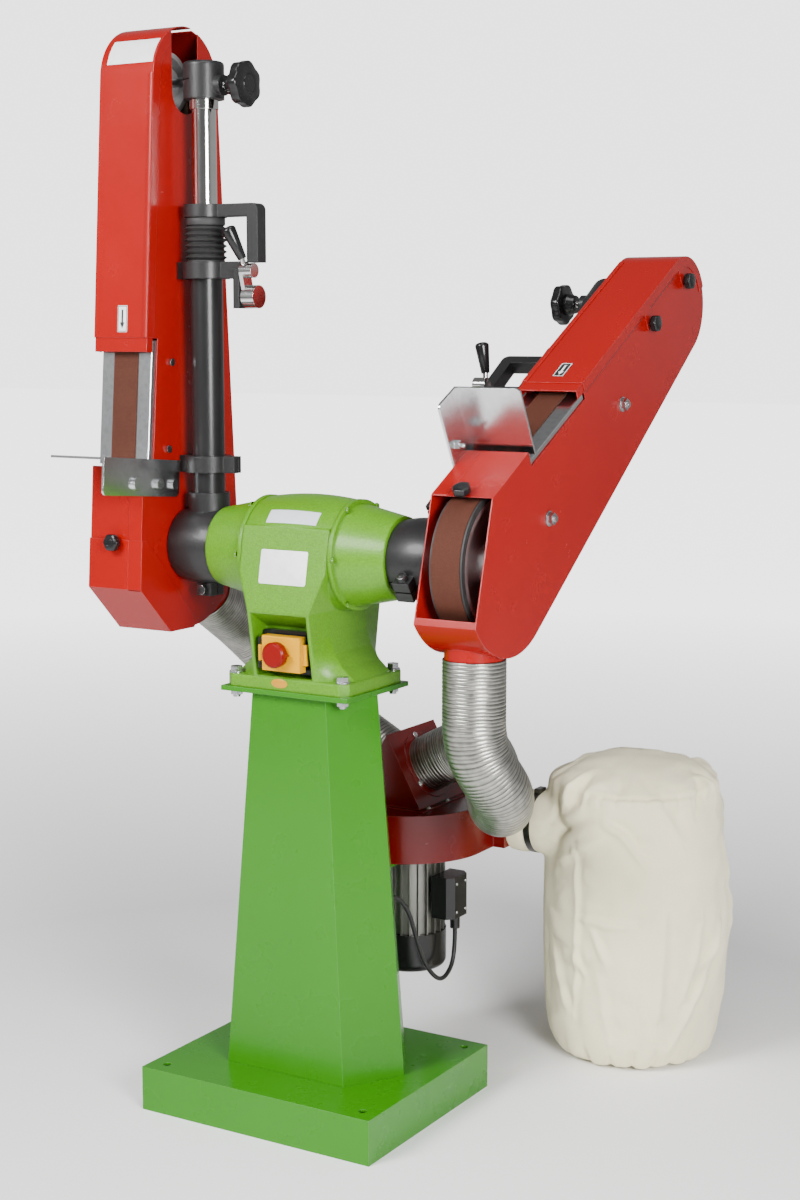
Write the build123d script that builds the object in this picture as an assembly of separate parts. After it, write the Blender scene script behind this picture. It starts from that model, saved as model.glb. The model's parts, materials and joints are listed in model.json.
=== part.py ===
from build123d import *
import os
from math import asin, cos, degrees, hypot, radians, sin, sqrt

# Double belt sander on a stand, in millimetres. X runs along the motor's shaft, the front is -Y and Z is up.
# The origin is on the floor, in the middle of the anchor holes.

# Clearances
SEAT_FIT = 0.05
RUN_FIT = 0.05
BEARING_FIT = 0.03
SOFT_GAP = 0.3
FACE_GAP = 0.2

# Base tray and its anchor holes
BASE_WIDTH = 450.0
BASE_DEPTH = 390.0
BASE_HEIGHT = 75.0
BASE_SHEET = 4.0
BASE_LIP = 60.0
ANCHOR_SPACING_X = 390.0
ANCHOR_SPACING_Y = 330.0
ANCHOR_HOLE_R = 7.0

# Column: a tapered six-sided tube
COLUMN_HEIGHT = 639.0
COLUMN_SHEET = 3.0
COLUMN_FOOT_FACE = 231.5
COLUMN_FOOT_SEAM = 346.0
COLUMN_FOOT_DEPTH = 198.0
COLUMN_TOP_FACE = 143.6
COLUMN_TOP_SEAM = 244.0
COLUMN_TOP_DEPTH = 158.0

# Top plate, motor foot and the bolts between them
TOP_PLATE_X = 247.0
TOP_PLATE_Y = 192.0
TOP_PLATE_T = 8.0
TOP_PLATE_HOLE_R = 30.0
FOOT_X = 238.0
FOOT_Y = 185.0
FOOT_T = 21.0
FOOT_CORNER = 14.0
FOOT_BOLT_X = 209.0
FOOT_BOLT_Y = 155.0
FOOT_BOLT_R = 6.0
FOOT_HOLE_R = 6.6
WASHER_R = 12.0
WASHER_T = 2.5
HEX_R = 10.5
HEX_T = 8.0

# Motor frame and end bells
AXIS_RISE = 199.0
MOTOR_HALF = 84.0
MOTOR_JOINT_R = 89.0
MOTOR_CROWN_R = 96.0
MOTOR_BORE_R = 72.0
FACET_TOP_RISE = 48.0
FACET_TOP_Y = 83.0
FACET_LOW_DROP = 88.0
FACET_LOW_Y = 109.0
PEDESTAL_WAIST = 60.0
PEDESTAL_FOOT_X = 113.0
PEDESTAL_FOOT_Y = 90.0
PEDESTAL_SIDE_Y = 56.0
BELL_FLANGE_T = 8.0
BELL_FLANGE_R = 91.0
BELL_BIG_R = 84.0
BELL_SMALL_R = 67.0
BELL_END_X = 174.0
BELL_WALL = 13.0
SPIGOT_R = 45.0
SPIGOT_END_X = 252.0
BEARING_R = 31.0
BEARING_WIDTH = 16.0
BEARING_SETBACK = 6.0
BELL_SHAFT_HOLE_R = 22.0
BELL_SCREWS = 6
BELL_SCREW_R = 5.0
BELL_SCREW_T = 4.0
STATOR_HALF = 62.0
STATOR_BORE_R = 46.0
WINDING_R = 66.0
WINDING_BORE_R = 50.0
WINDING_REACH = 14.0

# Shaft, contact wheels and tyres
SHAFT_R = 15.0
SHAFT_SEAT_R = 14.0
SHAFT_THREAD_R = 10.0
SHAFT_NUT_R = 17.0
SHAFT_NUT_T = 10.0
ROTOR_HALF = 60.0
ROTOR_AIR_GAP = 0.5
WHEEL_R = 115.0
TYRE_T = 10.0
TYRE_WIDTH = 57.0
WHEEL_RIM_T = 9.0
WHEEL_RIM_WIDTH = 55.0
WHEEL_WEB_T = 14.0
WHEEL_HUB_R = 32.0
WHEEL_HUB_WIDTH = 68.0

# Switch in the pedestal's recess
RECESS_HALF = 54.0
RECESS_BACK_Y = 62.0
RECESS_ROOF_DROP = 118.0
RECESS_FLOOR_GAP = 2.0
SWITCH_PLATE_X = 102.0
SWITCH_PLATE_Z = 70.0
SWITCH_PLATE_T = 14.0
SWITCH_PLATE_ROUND = 6.0
SWITCH_DROP = 157.0
SWITCH_X = 1.0
SWITCH_BODY_X = 68.0
SWITCH_BODY_Z = 54.0
SWITCH_BODY_T = 8.0
LID_X = 74.0
LID_Z = 58.0
LID_T = 19.0
LID_WALL = 2.5
LID_GAP = 0.4
CATCH_X = 8.0
CATCH_T = 5.0
CATCH_Z = 34.0
HINGE_R = 4.0
HINGE_PIN_R = 1.6
HINGE_KNUCKLE = 26.0
HINGE_LUG = 12.0
STOP_R = 21.0
STOP_NOSE = 26.0
STOP_T = 14.0
STOP_BEVEL = 3.0
STOP_STEM_R = 7.0
STOP_TRAVEL = 4.0
STOP_X = -3.0
START_SIZE = 16.0
START_PROUD = 5.0
START_SINK = 8.0
START_X = 18.0

# Arm: lean of each arm, housing and its side outline
LEFT_LEAN = 0.0
RIGHT_LEAN = 57.5
HOUSING_INNER_X = 260.0
HOUSING_WIDTH = 109.0
HOUSING_SHEET = 2.0
HOUSING_REAR_R = 145.7
HOUSING_FRONT_R = 127.0
HOUSING_TOP_R = 87.0
HOUSING_TOP_U = 774.0
HOUSING_TOP_V = -12.0
WINDOW_DISTANCE = 91.0
WINDOW_ANGLE = 42.4
WINDOW_STRIP = 11.0
NOTCH_LOW_S = 126.0
NOTCH_HIGH_S = 341.0
NOTCH_BEHIND_BELT = 12.0
LIP_LENGTH = 24.0
LIP_DEPTH = 16.0
PANEL_STRIP_WIDTH = 27.0
PANEL_STRIP_T = 1.2
COVER_OPENING_U = 372.0
COVER_OPENING_V = -32.0
AXLE_SLOT_WIDTH = 71.0
AXLE_SLOT_V = -10.0
AXLE_SLOT_LOW_U = 720.0
SHAFT_HOLE_R = 42.0
SPIGOT_PORT_R = 48.0
SPIGOT_PORT_WALL = 2.0
SPIGOT_PORT_ANGLE = 57.5
SPIGOT_PORT_OFFSET = 21.7
SPIGOT_PORT_REACH = 176.0

# Belt, idler and platen
BELT_WIDTH = 50.0
BELT_T = 1.2
IDLER_R = 52.0
IDLER_WIDTH = 60.0
IDLER_RIM_T = 9.0
IDLER_WEB_T = 16.0
IDLER_HUB_R = 25.0
IDLER_U = 771.0
AXLE_R = 8.0
AXLE_COLLAR_R = 13.0
AXLE_COLLAR_T = 5.0
AXLE_TAIL_T = 6.0
AXLE_TAIL_DROP = 17.0
AXLE_TAIL_WIDTH = 14.0
TILT_PIN_R = 4.0
PLATEN_SHEET = 3.0
PLATEN_DEPTH = 60.0
PLATEN_CLEAR = 4.0
PLATEN_SIDE_GAP = 0.3
PLATEN_BOLT_N = 66.5
PLATEN_BOLTS_S = (159.0, 304.5)

# Work table
TABLE_SHEET = 4.0
TABLE_S = 141.0
TABLE_TO_BELT = 2.0
TABLE_REACH = 118.0
TABLE_OVERHANG = 4.0
TABLE_CORNER = 9.0
TABLE_FLANGE_DROP = 62.0
TABLE_FLANGE_REAR_N = 36.0
TABLE_BOLT_S = 100.0
TABLE_BOLTS_N = (54.0, 95.0)
TABLE_STUD_N = 153.0
TABLE_TRAVEL = 12.0
TABLE_BOLT_R = 4.0
TABLE_BOLT_HEAD_R = 9.0
TABLE_BOLT_HEAD_T = 6.0
TABLE_STUD_HEAD_R = 12.0

# Covers and their knobs
COVER_SHEET = 1.5
COVER_LOW_U = 350.0
COVER_END_V = -25.0
COVER_FLANGE = 17.0
COVER_INNER_LIMIT_V = 30.0
COVER_KNOBS = ((28.0, 793.0), (43.0, 628.0))
COVER_EAR_R = 13.0
KNOB_R = 15.0
KNOB_T = 18.0
KNOB_STEM_R = 4.0
KNOB_LOBES = 6
GUARD_TOP_U = 15.0
GUARD_LOW_U = -68.0
GUARD_TOE_V = 53.0
GUARD_HEEL_V = -12.0
GUARD_OVERLAP = 14.0
GUARD_KNOB_U = 9.5

# Pivot hub, support tube and clamps
HUB_R = 67.0
HUB_END_R = 61.0
HUB_PLATE_GAP = 2.0
HUB_STUB_R = 35.0
HUB_STUB_TOP = 90.0
HUB_SLIT = 3.0
HUB_LUG_X = 30.0
HUB_LUG_Y = 36.0
HUB_LUG_LOW = 86.0
PINCH_SCREW_R = 5.0
PINCH_HEAD_R = 8.0
PINCH_HEAD_T = 9.0
PINCH_DROP = 75.0
TUBE_X = 214.0
TUBE_R = 27.5
TUBE_FOOT_U = 60.0
TUBE_TOP_U = 475.0
CLAMP_R = 39.0
CLAMP_T = 28.0
CLAMP_LOW_U = 138.0
CLAMP_EAR_HALF = 20.0
CLAMP_TAIL_HALF = 10.0
CLAMP_TAIL_REACH = 60.0
CLAMP_SLIT = 3.0
THROUGH_BOLT_R = 5.0
THROUGH_BOLT_V = -13.0
THROUGH_WASHER_R = 13.0
PLATE_BOLT_HEAD_R = 6.5
PLATE_BOLT_HEAD_T = 5.0

# Slide tube, head, hook and bellows
SLIDE_R = 20.0
SLIDE_BORE_R = 15.0
SLIDE_LOW_U = 260.0
SLIDE_COLLAR_R = 24.0
SLIDE_COLLAR_T = 16.0
HEAD_LOW_U = 740.0
HEAD_TOP_U = 801.0
HEAD_R = 34.0
HEAD_ROUND = 6.0
HEAD_GROOVE = 2.0
HEAD_SEAT = 10.0
HEAD_CAVITY_R = 18.0
HEAD_BOSS_R = 17.0
HEAD_BOSS_X = 172.0
HOOK_LOW_U = 548.0
HOOK_T = 21.0
HOOK_R = 36.0
HOOK_HALF = 12.0
HOOK_LEG_X = 100.0
HOOK_LEG_T = 22.0
HOOK_TO_ROLLER = 1.0
BELLOWS_PLEATS = 5
BELLOWS_R = 36.0
BELLOWS_VALLEY_R = 28.0
BELLOWS_BORE_R = 20.5

# Tracking knob
TRACK_KNOB_R = 38.0
TRACK_KNOB_T = 26.0
TRACK_KNOB_X = 134.0
TRACK_KNOB_LOBES = 7
TRACK_HUB_R = 16.0
TRACK_HUB_T = 14.0
TRACK_SCREW_R = 6.0
TRACK_SCREW_DROP = 10.0
TRACK_TIP_GAP = 0.8

# Tension lever
LEFT_LEVER_LEAN = 15.0
RIGHT_LEVER_LEAN = 57.5
BRACKET_X = 134.0
BRACKET_T = 12.0
BRACKET_HALF = 18.0
BRACKET_LOW_U = 398.0
LEVER_PIVOT_U = 417.0
LEVER_PIN_R = 6.0
LEVER_PLATE_T = 7.0
LEVER_PLATE_GAP = 3.0
LEVER_CAP_R = 19.0
LEVER_CAP_T = 18.0
ROLLER_R = 12.0
ROLLER_THROW = 44.0
ROLLER_T = 17.0
GRIP_START = 64.0
GRIP_LENGTH = 52.0
GRIP_R = 11.0
GRIP_NECK_R = 6.0
LEFT_GRIP_SHIFT = 20.0
RIGHT_GRIP_SHIFT = -8.0
LEVER_ROD_R = 4.5

# Extraction fan
FAN_Y = 310.0
SCROLL_LOW_Z = 378.0
SCROLL_HEIGHT = 86.0
SCROLL_SHEET = 2.0
SCROLL_START_R = 146.0
SCROLL_GROWTH = 8.0
SCROLL_THROAT = 112.0
SCROLL_THROAT_X = 165.0
OUTLET_R = 50.0
OUTLET_END_X = 240.0
FAN_EYE_R = 55.0
INLET_HALF = 70.0
INLET_RIDGE = 129.0
INLET_LENGTH = 166.0
INLET_SHEET = 2.0
INLET_FLANGE = 12.0
COLLAR_R = 48.0
COLLAR_WALL = 2.0
COLLAR_REACH = 30.0
COLLAR_RING_R = 62.0
COLLAR_RING_T = 2.0
FAN_MOTOR_R = 55.0
FAN_MOTOR_FIN_R = 64.0
FAN_MOTOR_FINS = 24
FAN_MOTOR_FIN_T = 2.4
FAN_MOTOR_LOW_Z = 222.0
FAN_MOTOR_FLANGE_R = 70.0
FAN_MOTOR_FLANGE_T = 9.0
FAN_SHAFT_R = 8.0
FAN_SHAFT_SINK = 60.0
COWL_R = 66.0
COWL_LOW_Z = 152.0
COWL_ROUND = 14.0
TERMINAL_REACH = 42.0
TERMINAL_Y = 66.0
TERMINAL_LOW_Z = 256.0
TERMINAL_HIGH_Z = 332.0
TERMINAL_CORNER = 12.0
GLAND_R = 9.0
GLAND_LENGTH = 22.0
GLAND_OFFSET_X = 30.0
IMPELLER_R = 118.0
IMPELLER_PLATE_T = 3.0
IMPELLER_HEIGHT = 52.0
IMPELLER_BLADES = 8
IMPELLER_BLADE_T = 2.5
IMPELLER_BLADE_LEAN = 30.0
IMPELLER_HUB_R = 22.0
IMPELLER_LIFT = 6.0
BRACKET_PLATE_HALF = 45.0
BRACKET_PLATE_T = 6.0
BRACKET_GUSSET_T = 6.0
BRACKET_GUSSET_DROP = 70.0
BRACKET_REACH_Y = 238.0

# Fan cable, from its gland to the grommet in the column
CABLE_R = 4.0
CABLE_FROM_MOUTH = ((0, 0, -34), (3, -16, -68), (4, -52, -84), (2, -86, -64), (-3, -114, -24))
CABLE_TO_GROMMET = ((16, 76, -76), (10, 66, -35), (0, 36, 0))
GROMMET_X = 70.0
GROMMET_Z = 335.0
GROMMET_R = 9.0
GROMMET_START_Y = 82.0
GROMMET_END_Y = 104.0

# Dust bag and its clamp band
BAG_X = 356.0
BAG_Y = 505.0
BAG_R = 163.0
BAG_LOW_Z = 1.0
BAG_HEIGHT = 552.0
BAG_ROUND = 34.0
BAG_WALL = 3.0
BAG_NECK_R = 54.0
BAG_NECK_X = 188.0
BAND_X = 214.0
BAND_WIDTH = 12.0
BAND_T = 1.5
BAND_SCREW = 12.0
BAND_WORM = 8.5

# Hoses: ribbed aluminium tube
HOSE_BORE_R = 48.3
HOSE_VALLEY_R = 49.4
HOSE_CREST_R = 51.6
HOSE_START = 158.0
HOSE_STRAIGHT = 100.0
RIGHT_HOSE_RIBS = 26
LEFT_HOSE_RIBS = 14
RIGHT_HOSE_LEAD = 165.0
RIGHT_HOSE_TAIL = 220.0
RIGHT_HOSE_FIRST_PULL = (110.5, 131.7, -54.0)
RIGHT_HOSE_LAST_PULL = (85.0, -320.0, -242.0)
LEFT_HOSE_LEAD = 110.0
LEFT_HOSE_TAIL = 110.0

# Worked out from the sizes above
COLUMN_TOP_Z = BASE_HEIGHT + COLUMN_HEIGHT
FOOT_LOW_Z = COLUMN_TOP_Z + TOP_PLATE_T
AXIS_Z = FOOT_LOW_Z + FOOT_T + AXIS_RISE
OUTER_X = HOUSING_INNER_X + HOUSING_WIDTH
BELT_X = HOUSING_INNER_X + HOUSING_WIDTH / 2
RING_X = MOTOR_HALF + BELL_FLANGE_T
BEARING_X = SPIGOT_END_X - BEARING_SETBACK - BEARING_WIDTH
BELT_IN_R = WHEEL_R + SOFT_GAP
IDLER_IN_R = IDLER_R + SOFT_GAP
BELT_LEAN = degrees(asin((BELT_IN_R - IDLER_IN_R) / IDLER_U))
CLAMP_HIGH_U = TUBE_TOP_U - CLAMP_T / 2
SCROLL_TOP_Z = SCROLL_LOW_Z + SCROLL_HEIGHT
OUTLET_Y = FAN_Y + SCROLL_GROWTH / 2 + SCROLL_START_R + 2 * SCROLL_GROWTH - SCROLL_THROAT / 2
OUTLET_Z = SCROLL_LOW_Z + SCROLL_HEIGHT / 2
SWITCH_FRONT_Y = -RECESS_BACK_Y - SWITCH_PLATE_T - SWITCH_BODY_T
LID_BACK_Y = SWITCH_FRONT_Y - LID_GAP
LID_FRONT_Y = LID_BACK_Y - LID_T
HINGE_X = SWITCH_X - LID_X / 2 - HINGE_R
HINGE_Y = LID_FRONT_Y + HINGE_R


def block(x0, x1, y0, y1, z0, z1):
    """Box between two corners."""
    middle = Pos((x0 + x1) / 2, (y0 + y1) / 2, (z0 + z1) / 2)
    return middle * Box(abs(x1 - x0), abs(y1 - y0), abs(z1 - z0))


def rod(start, end, radius, bore=0.0):
    """Round bar between two points, or a tube where it has a bore."""
    run = Vector(*end) - Vector(*start)
    section = Circle(radius)
    if bore:
        section -= Circle(bore)
    return extrude(Plane(origin=start, z_dir=run) * section, amount=run.length)


def area(*lines):
    """Face inside a closed chain of lines and arcs."""
    return make_face([edge for line in lines for edge in line.edges()])


def turned(points):
    """Solid of points (x, radius) turned about the motor's axis."""
    return revolve(Plane.XZ * Polygon(*points), Axis.X)


def hexagon_bar(start, end, radius):
    """Bar of hexagon section between two points."""
    run = Vector(*end) - Vector(*start)
    return extrude(Plane(origin=start, z_dir=run) * RegularPolygon(radius, 6), amount=run.length)


def star(radius, lobes):
    """Outline of a star knob, with a hollow between each two lobes."""
    hollow = radius * 0.34
    return Circle(radius) - PolarLocations(radius + hollow * 0.45, lobes) * Circle(hollow)


def star_knob(start, way, radius, length, lobes):
    """Star knob whose back is at start and whose axis runs along way."""
    body = extrude(Plane(origin=start, z_dir=way) * star(radius, lobes), amount=length)
    return body


def group(*solids):
    """Separate solids kept together in one node."""
    return Compound([solid for piece in solids for solid in piece.solids()])


# Stand

def anchor_points():
    """Places of the anchor holes."""
    return GridLocations(ANCHOR_SPACING_X, ANCHOR_SPACING_Y, 2, 2)


def base_tray():
    """Folded tray, open below inside its return flange."""
    half_x = BASE_WIDTH / 2
    half_y = BASE_DEPTH / 2
    tray = block(-half_x, half_x, -half_y, half_y, 0, BASE_HEIGHT)
    inner_x = half_x - BASE_SHEET
    inner_y = half_y - BASE_SHEET
    tray -= block(-inner_x, inner_x, -inner_y, inner_y, BASE_SHEET, BASE_HEIGHT - BASE_SHEET)
    tray -= block(BASE_LIP - half_x, half_x - BASE_LIP, BASE_LIP - half_y, half_y - BASE_LIP, 0, BASE_SHEET)
    return tray - extrude(Sketch() + anchor_points() * Circle(ANCHOR_HOLE_R), amount=BASE_HEIGHT)


def six_sides(face, seam, depth):
    """Long hexagon with flat front and rear faces and a seam corner at each side."""
    corners = [(face / 2, -depth / 2), (seam / 2, 0), (face / 2, depth / 2)]
    return Polygon(*corners, *[(-x, -y) for x, y in corners])


def column_tube(inset):
    """Tapered column body, drawn in by inset all round."""
    foot = offset(six_sides(COLUMN_FOOT_FACE, COLUMN_FOOT_SEAM, COLUMN_FOOT_DEPTH), -inset)
    top = offset(six_sides(COLUMN_TOP_FACE, COLUMN_TOP_SEAM, COLUMN_TOP_DEPTH), -inset)
    return loft([Pos(0, 0, BASE_HEIGHT) * foot, Pos(0, 0, COLUMN_TOP_Z) * top], ruled=True)


def column():
    """Welded column with the fan's bracket on its rear face."""
    outer = column_tube(0)
    plate = block(-BRACKET_PLATE_HALF, BRACKET_PLATE_HALF, 0, BRACKET_REACH_Y,
                  SCROLL_LOW_Z - BRACKET_PLATE_T, SCROLL_LOW_Z)
    plate -= rod((0, FAN_Y, 0), (0, FAN_Y, SCROLL_TOP_Z), FAN_MOTOR_FLANGE_R + SOFT_GAP)
    web_top = SCROLL_LOW_Z - BRACKET_PLATE_T
    web = Polygon((0, web_top), (BRACKET_REACH_Y - BRACKET_PLATE_T, web_top),
                  (COLUMN_FOOT_DEPTH / 2, web_top - BRACKET_GUSSET_DROP), (0, web_top - BRACKET_GUSSET_DROP))
    gusset = extrude(Plane.YZ * web, amount=BRACKET_GUSSET_T / 2, both=True)
    gusset -= rod((0, FAN_Y, 0), (0, FAN_Y, SCROLL_TOP_Z), COWL_R + BRACKET_PLATE_T)
    post = outer - column_tube(COLUMN_SHEET) + (plate + gusset - outer)
    hole_ends = (GROMMET_X, 0, GROMMET_Z), (GROMMET_X, GROMMET_END_Y, GROMMET_Z)
    return post - rod(*hole_ends, GROMMET_R + SEAT_FIT)


def foot_bolt_points():
    """Places of the bolts through the motor's foot."""
    return GridLocations(FOOT_BOLT_X, FOOT_BOLT_Y, 2, 2)


def column_top_plate():
    """Plate welded on the column, under the motor's foot."""
    outline = Rectangle(TOP_PLATE_X, TOP_PLATE_Y) - foot_bolt_points() * Circle(FOOT_HOLE_R)
    outline -= Circle(TOP_PLATE_HOLE_R)
    return extrude(Pos(0, 0, COLUMN_TOP_Z) * outline, amount=TOP_PLATE_T)


# Motor, about its own axis

def pedestal_section(drop, front, depth, side, side_depth):
    """Eight-sided section of the pedestal, at a distance below the axis."""
    corners = [(front, -depth), (side, -side_depth), (side, side_depth), (front, depth)]
    return Pos(0, 0, -drop) * Polygon(*corners, *[(-x, -y) for x, y in corners])


def facet_depth(drop):
    """Depth of the sloping front facet, at a distance below the axis."""
    share = (drop + FACET_TOP_RISE) / (FACET_LOW_DROP + FACET_TOP_RISE)
    return FACET_TOP_Y + share * (FACET_LOW_Y - FACET_TOP_Y)


def lower_depth(drop):
    """Depth of the pedestal's front between the facet and the foot."""
    share = (drop - FACET_LOW_DROP) / (AXIS_RISE - FACET_LOW_DROP)
    return FACET_LOW_Y + share * (PEDESTAL_FOOT_Y - FACET_LOW_Y)


def flare(drop):
    """Half width of the pedestal's side, which sweeps out to the foot."""
    share = (drop - FACET_LOW_DROP) / (AXIS_RISE - FACET_LOW_DROP)
    return PEDESTAL_WAIST + 4 + (PEDESTAL_FOOT_X - PEDESTAL_WAIST - 4) * share ** 3


def pedestal():
    """Pedestal from the barrel down to the foot."""
    shoulder = FACET_LOW_DROP * 0.3
    broad = MOTOR_HALF - 1
    sections = [
        pedestal_section(-FACET_TOP_RISE, broad, FACET_TOP_Y, MOTOR_HALF, FACET_TOP_Y / 2),
        pedestal_section(shoulder, broad, facet_depth(shoulder), MOTOR_HALF, PEDESTAL_SIDE_Y),
        pedestal_section(FACET_LOW_DROP, PEDESTAL_WAIST, FACET_LOW_Y, PEDESTAL_WAIST + 4, PEDESTAL_SIDE_Y),
    ]
    steps = 4
    for step in range(1, steps + 1):
        drop = FACET_LOW_DROP + (AXIS_RISE - FACET_LOW_DROP) * (step / steps) ** 0.7
        depth = lower_depth(drop)
        sections.append(pedestal_section(drop, PEDESTAL_WAIST, depth, flare(drop), PEDESTAL_SIDE_Y))
    return loft(sections, ruled=True)


def recess():
    """Room for the switch in the pedestal's front, under a sloping roof."""
    roof = FACET_LOW_DROP + 4
    floor = AXIS_RISE - RECESS_FLOOR_GAP
    front = -FACET_LOW_Y - 1
    back = -RECESS_BACK_Y
    ceiling = [(front, -roof), (front + 2, -roof), (back, -RECESS_ROOF_DROP)]
    outline = Polygon(*ceiling, (back, -floor), (front, -floor))
    return extrude(Plane.YZ * outline, amount=RECESS_HALF, both=True)


def facet_trim():
    """Room before and behind the sloping facets, which makes the barrel flat there."""
    far = FACET_LOW_Y + 1
    outline = Polygon((-FACET_TOP_Y, FACET_TOP_RISE), (-far, FACET_TOP_RISE), (-far, -FACET_LOW_DROP),
                      (-FACET_LOW_Y, -FACET_LOW_DROP))
    front = extrude(Plane.YZ * outline, amount=MOTOR_HALF, both=True)
    return front + Rot(Z=180) * front


def motor_frame():
    """Cast motor frame: crowned barrel with a flat front and back, pedestal with its recess, and foot."""
    right = MOTOR_HALF, MOTOR_JOINT_R
    left = -MOTOR_HALF, MOTOR_JOINT_R
    crown = ThreePointArc(left, (0, MOTOR_CROWN_R), right)
    ends = Polyline(right, (MOTOR_HALF, 0), (-MOTOR_HALF, 0), left)
    barrel = revolve(Plane.XZ * area(crown, ends), Axis.X)
    outline = chamfer(Rectangle(FOOT_X, FOOT_Y).vertices(), FOOT_CORNER)
    outline -= foot_bolt_points() * Circle(FOOT_HOLE_R)
    foot = extrude(Pos(0, 0, -AXIS_RISE - FOOT_T) * outline, amount=FOOT_T)
    frame = barrel - facet_trim() + pedestal() + foot - recess()
    return frame - rod((-MOTOR_HALF, 0, 0), (MOTOR_HALF, 0, 0), MOTOR_BORE_R)


def end_bell():
    """Right end bell: flange, tapered shell and the bearing spigot that the arm turns on."""
    return turned([
        (MOTOR_HALF, MOTOR_BORE_R),
        (MOTOR_HALF, BELL_FLANGE_R),
        (RING_X, BELL_FLANGE_R),
        (RING_X, BELL_BIG_R),
        (BELL_END_X, BELL_SMALL_R),
        (BELL_END_X, SPIGOT_R),
        (SPIGOT_END_X, SPIGOT_R),
        (SPIGOT_END_X, BEARING_R),
        (BEARING_X, BEARING_R),
        (BEARING_X, BELL_SHAFT_HOLE_R),
        (BELL_END_X - BELL_WALL / 2, BELL_SHAFT_HOLE_R),
        (BELL_END_X - BELL_WALL, BELL_SMALL_R - BELL_WALL),
        (RING_X, BELL_BIG_R - BELL_WALL),
    ])


def stator():
    """Stator pack with its end windings."""
    pack = rod((-STATOR_HALF, 0, 0), (STATOR_HALF, 0, 0), MOTOR_BORE_R - SEAT_FIT, STATOR_BORE_R)
    reach = STATOR_HALF + WINDING_REACH
    return pack + rod((-reach, 0, 0), (reach, 0, 0), WINDING_R, WINDING_BORE_R)


def bearing():
    """Right ball bearing, seated in the spigot."""
    seat = BEARING_R - SEAT_FIT
    return rod((BEARING_X, 0, 0), (BEARING_X + BEARING_WIDTH, 0, 0), seat, SHAFT_R + BEARING_FIT)


def stand_fasteners():
    """Foot bolts with their washers and nuts, and the end bells' screws."""
    top = -AXIS_RISE
    low = top - FOOT_T - TOP_PLATE_T
    bolt = rod((0, 0, low - HEX_T - 4), (0, 0, top), FOOT_BOLT_R)
    bolt += rod((0, 0, top), (0, 0, top + WASHER_T), WASHER_R)
    bolt += hexagon_bar((0, 0, top + WASHER_T), (0, 0, top + WASHER_T + HEX_T), HEX_R)
    nut = hexagon_bar((0, 0, low - HEX_T), (0, 0, low), HEX_R)
    nut -= rod((0, 0, low - HEX_T), (0, 0, low), FOOT_BOLT_R + SEAT_FIT)
    pieces = [place * piece for place in foot_bolt_points() for piece in (bolt, nut)]
    circle_r = (BELL_FLANGE_R + BELL_BIG_R) / 2 + 1
    screw = hexagon_bar((RING_X, 0, circle_r), (RING_X + BELL_SCREW_T, 0, circle_r), BELL_SCREW_R)
    screw -= turned([(RING_X, 0), (RING_X, BELL_BIG_R), (BELL_END_X, BELL_SMALL_R), (BELL_END_X, 0)])
    for index in range(BELL_SCREWS):
        turned_screw = Rot(X=360 / BELL_SCREWS * (index + 0.5)) * screw
        pieces += [turned_screw, mirror(turned_screw, Plane.YZ)]
    return group(*pieces)


# Spindle

def rotor_shaft():
    """Shaft with its rotor core, running through both end bells."""
    hub_in = BELT_X - WHEEL_HUB_WIDTH / 2
    hub_out = BELT_X + WHEEL_HUB_WIDTH / 2
    tip = hub_out + SHAFT_NUT_T + 3
    core_r = STATOR_BORE_R - ROTOR_AIR_GAP
    half = [(0, core_r), (ROTOR_HALF, core_r), (ROTOR_HALF, SHAFT_R), (hub_in, SHAFT_R)]
    half += [(hub_in, SHAFT_SEAT_R), (hub_out, SHAFT_SEAT_R), (hub_out, SHAFT_THREAD_R)]
    half += [(tip, SHAFT_THREAD_R), (tip, 0)]
    return turned(half + [(-x, r) for x, r in reversed(half[1:])])


def contact_wheel():
    """Right contact wheel: hub, web and rim."""
    rim_out = WHEEL_R - TYRE_T
    rim_in = rim_out - WHEEL_RIM_T
    half = [(WHEEL_HUB_WIDTH / 2, SHAFT_SEAT_R + SEAT_FIT), (WHEEL_HUB_WIDTH / 2, WHEEL_HUB_R),
            (WHEEL_WEB_T / 2, WHEEL_HUB_R), (WHEEL_WEB_T / 2, rim_in), (WHEEL_RIM_WIDTH / 2, rim_in),
            (WHEEL_RIM_WIDTH / 2, rim_out)]
    wheel = turned([(BELT_X + x, r) for x, r in half] + [(BELT_X - x, r) for x, r in reversed(half)])
    nut_x = BELT_X + WHEEL_HUB_WIDTH / 2
    nut = hexagon_bar((nut_x, 0, 0), (nut_x + SHAFT_NUT_T, 0, 0), SHAFT_NUT_R)
    nut -= rod((nut_x, 0, 0), (nut_x + SHAFT_NUT_T, 0, 0), SHAFT_THREAD_R + SEAT_FIT)
    return group(wheel, nut)


def wheel_tyre():
    """Right rubber tyre."""
    half = TYRE_WIDTH / 2
    bore = WHEEL_R - TYRE_T + SEAT_FIT
    return rod((BELT_X - half, 0, 0), (BELT_X + half, 0, 0), WHEEL_R, bore)


# Switch

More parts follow.
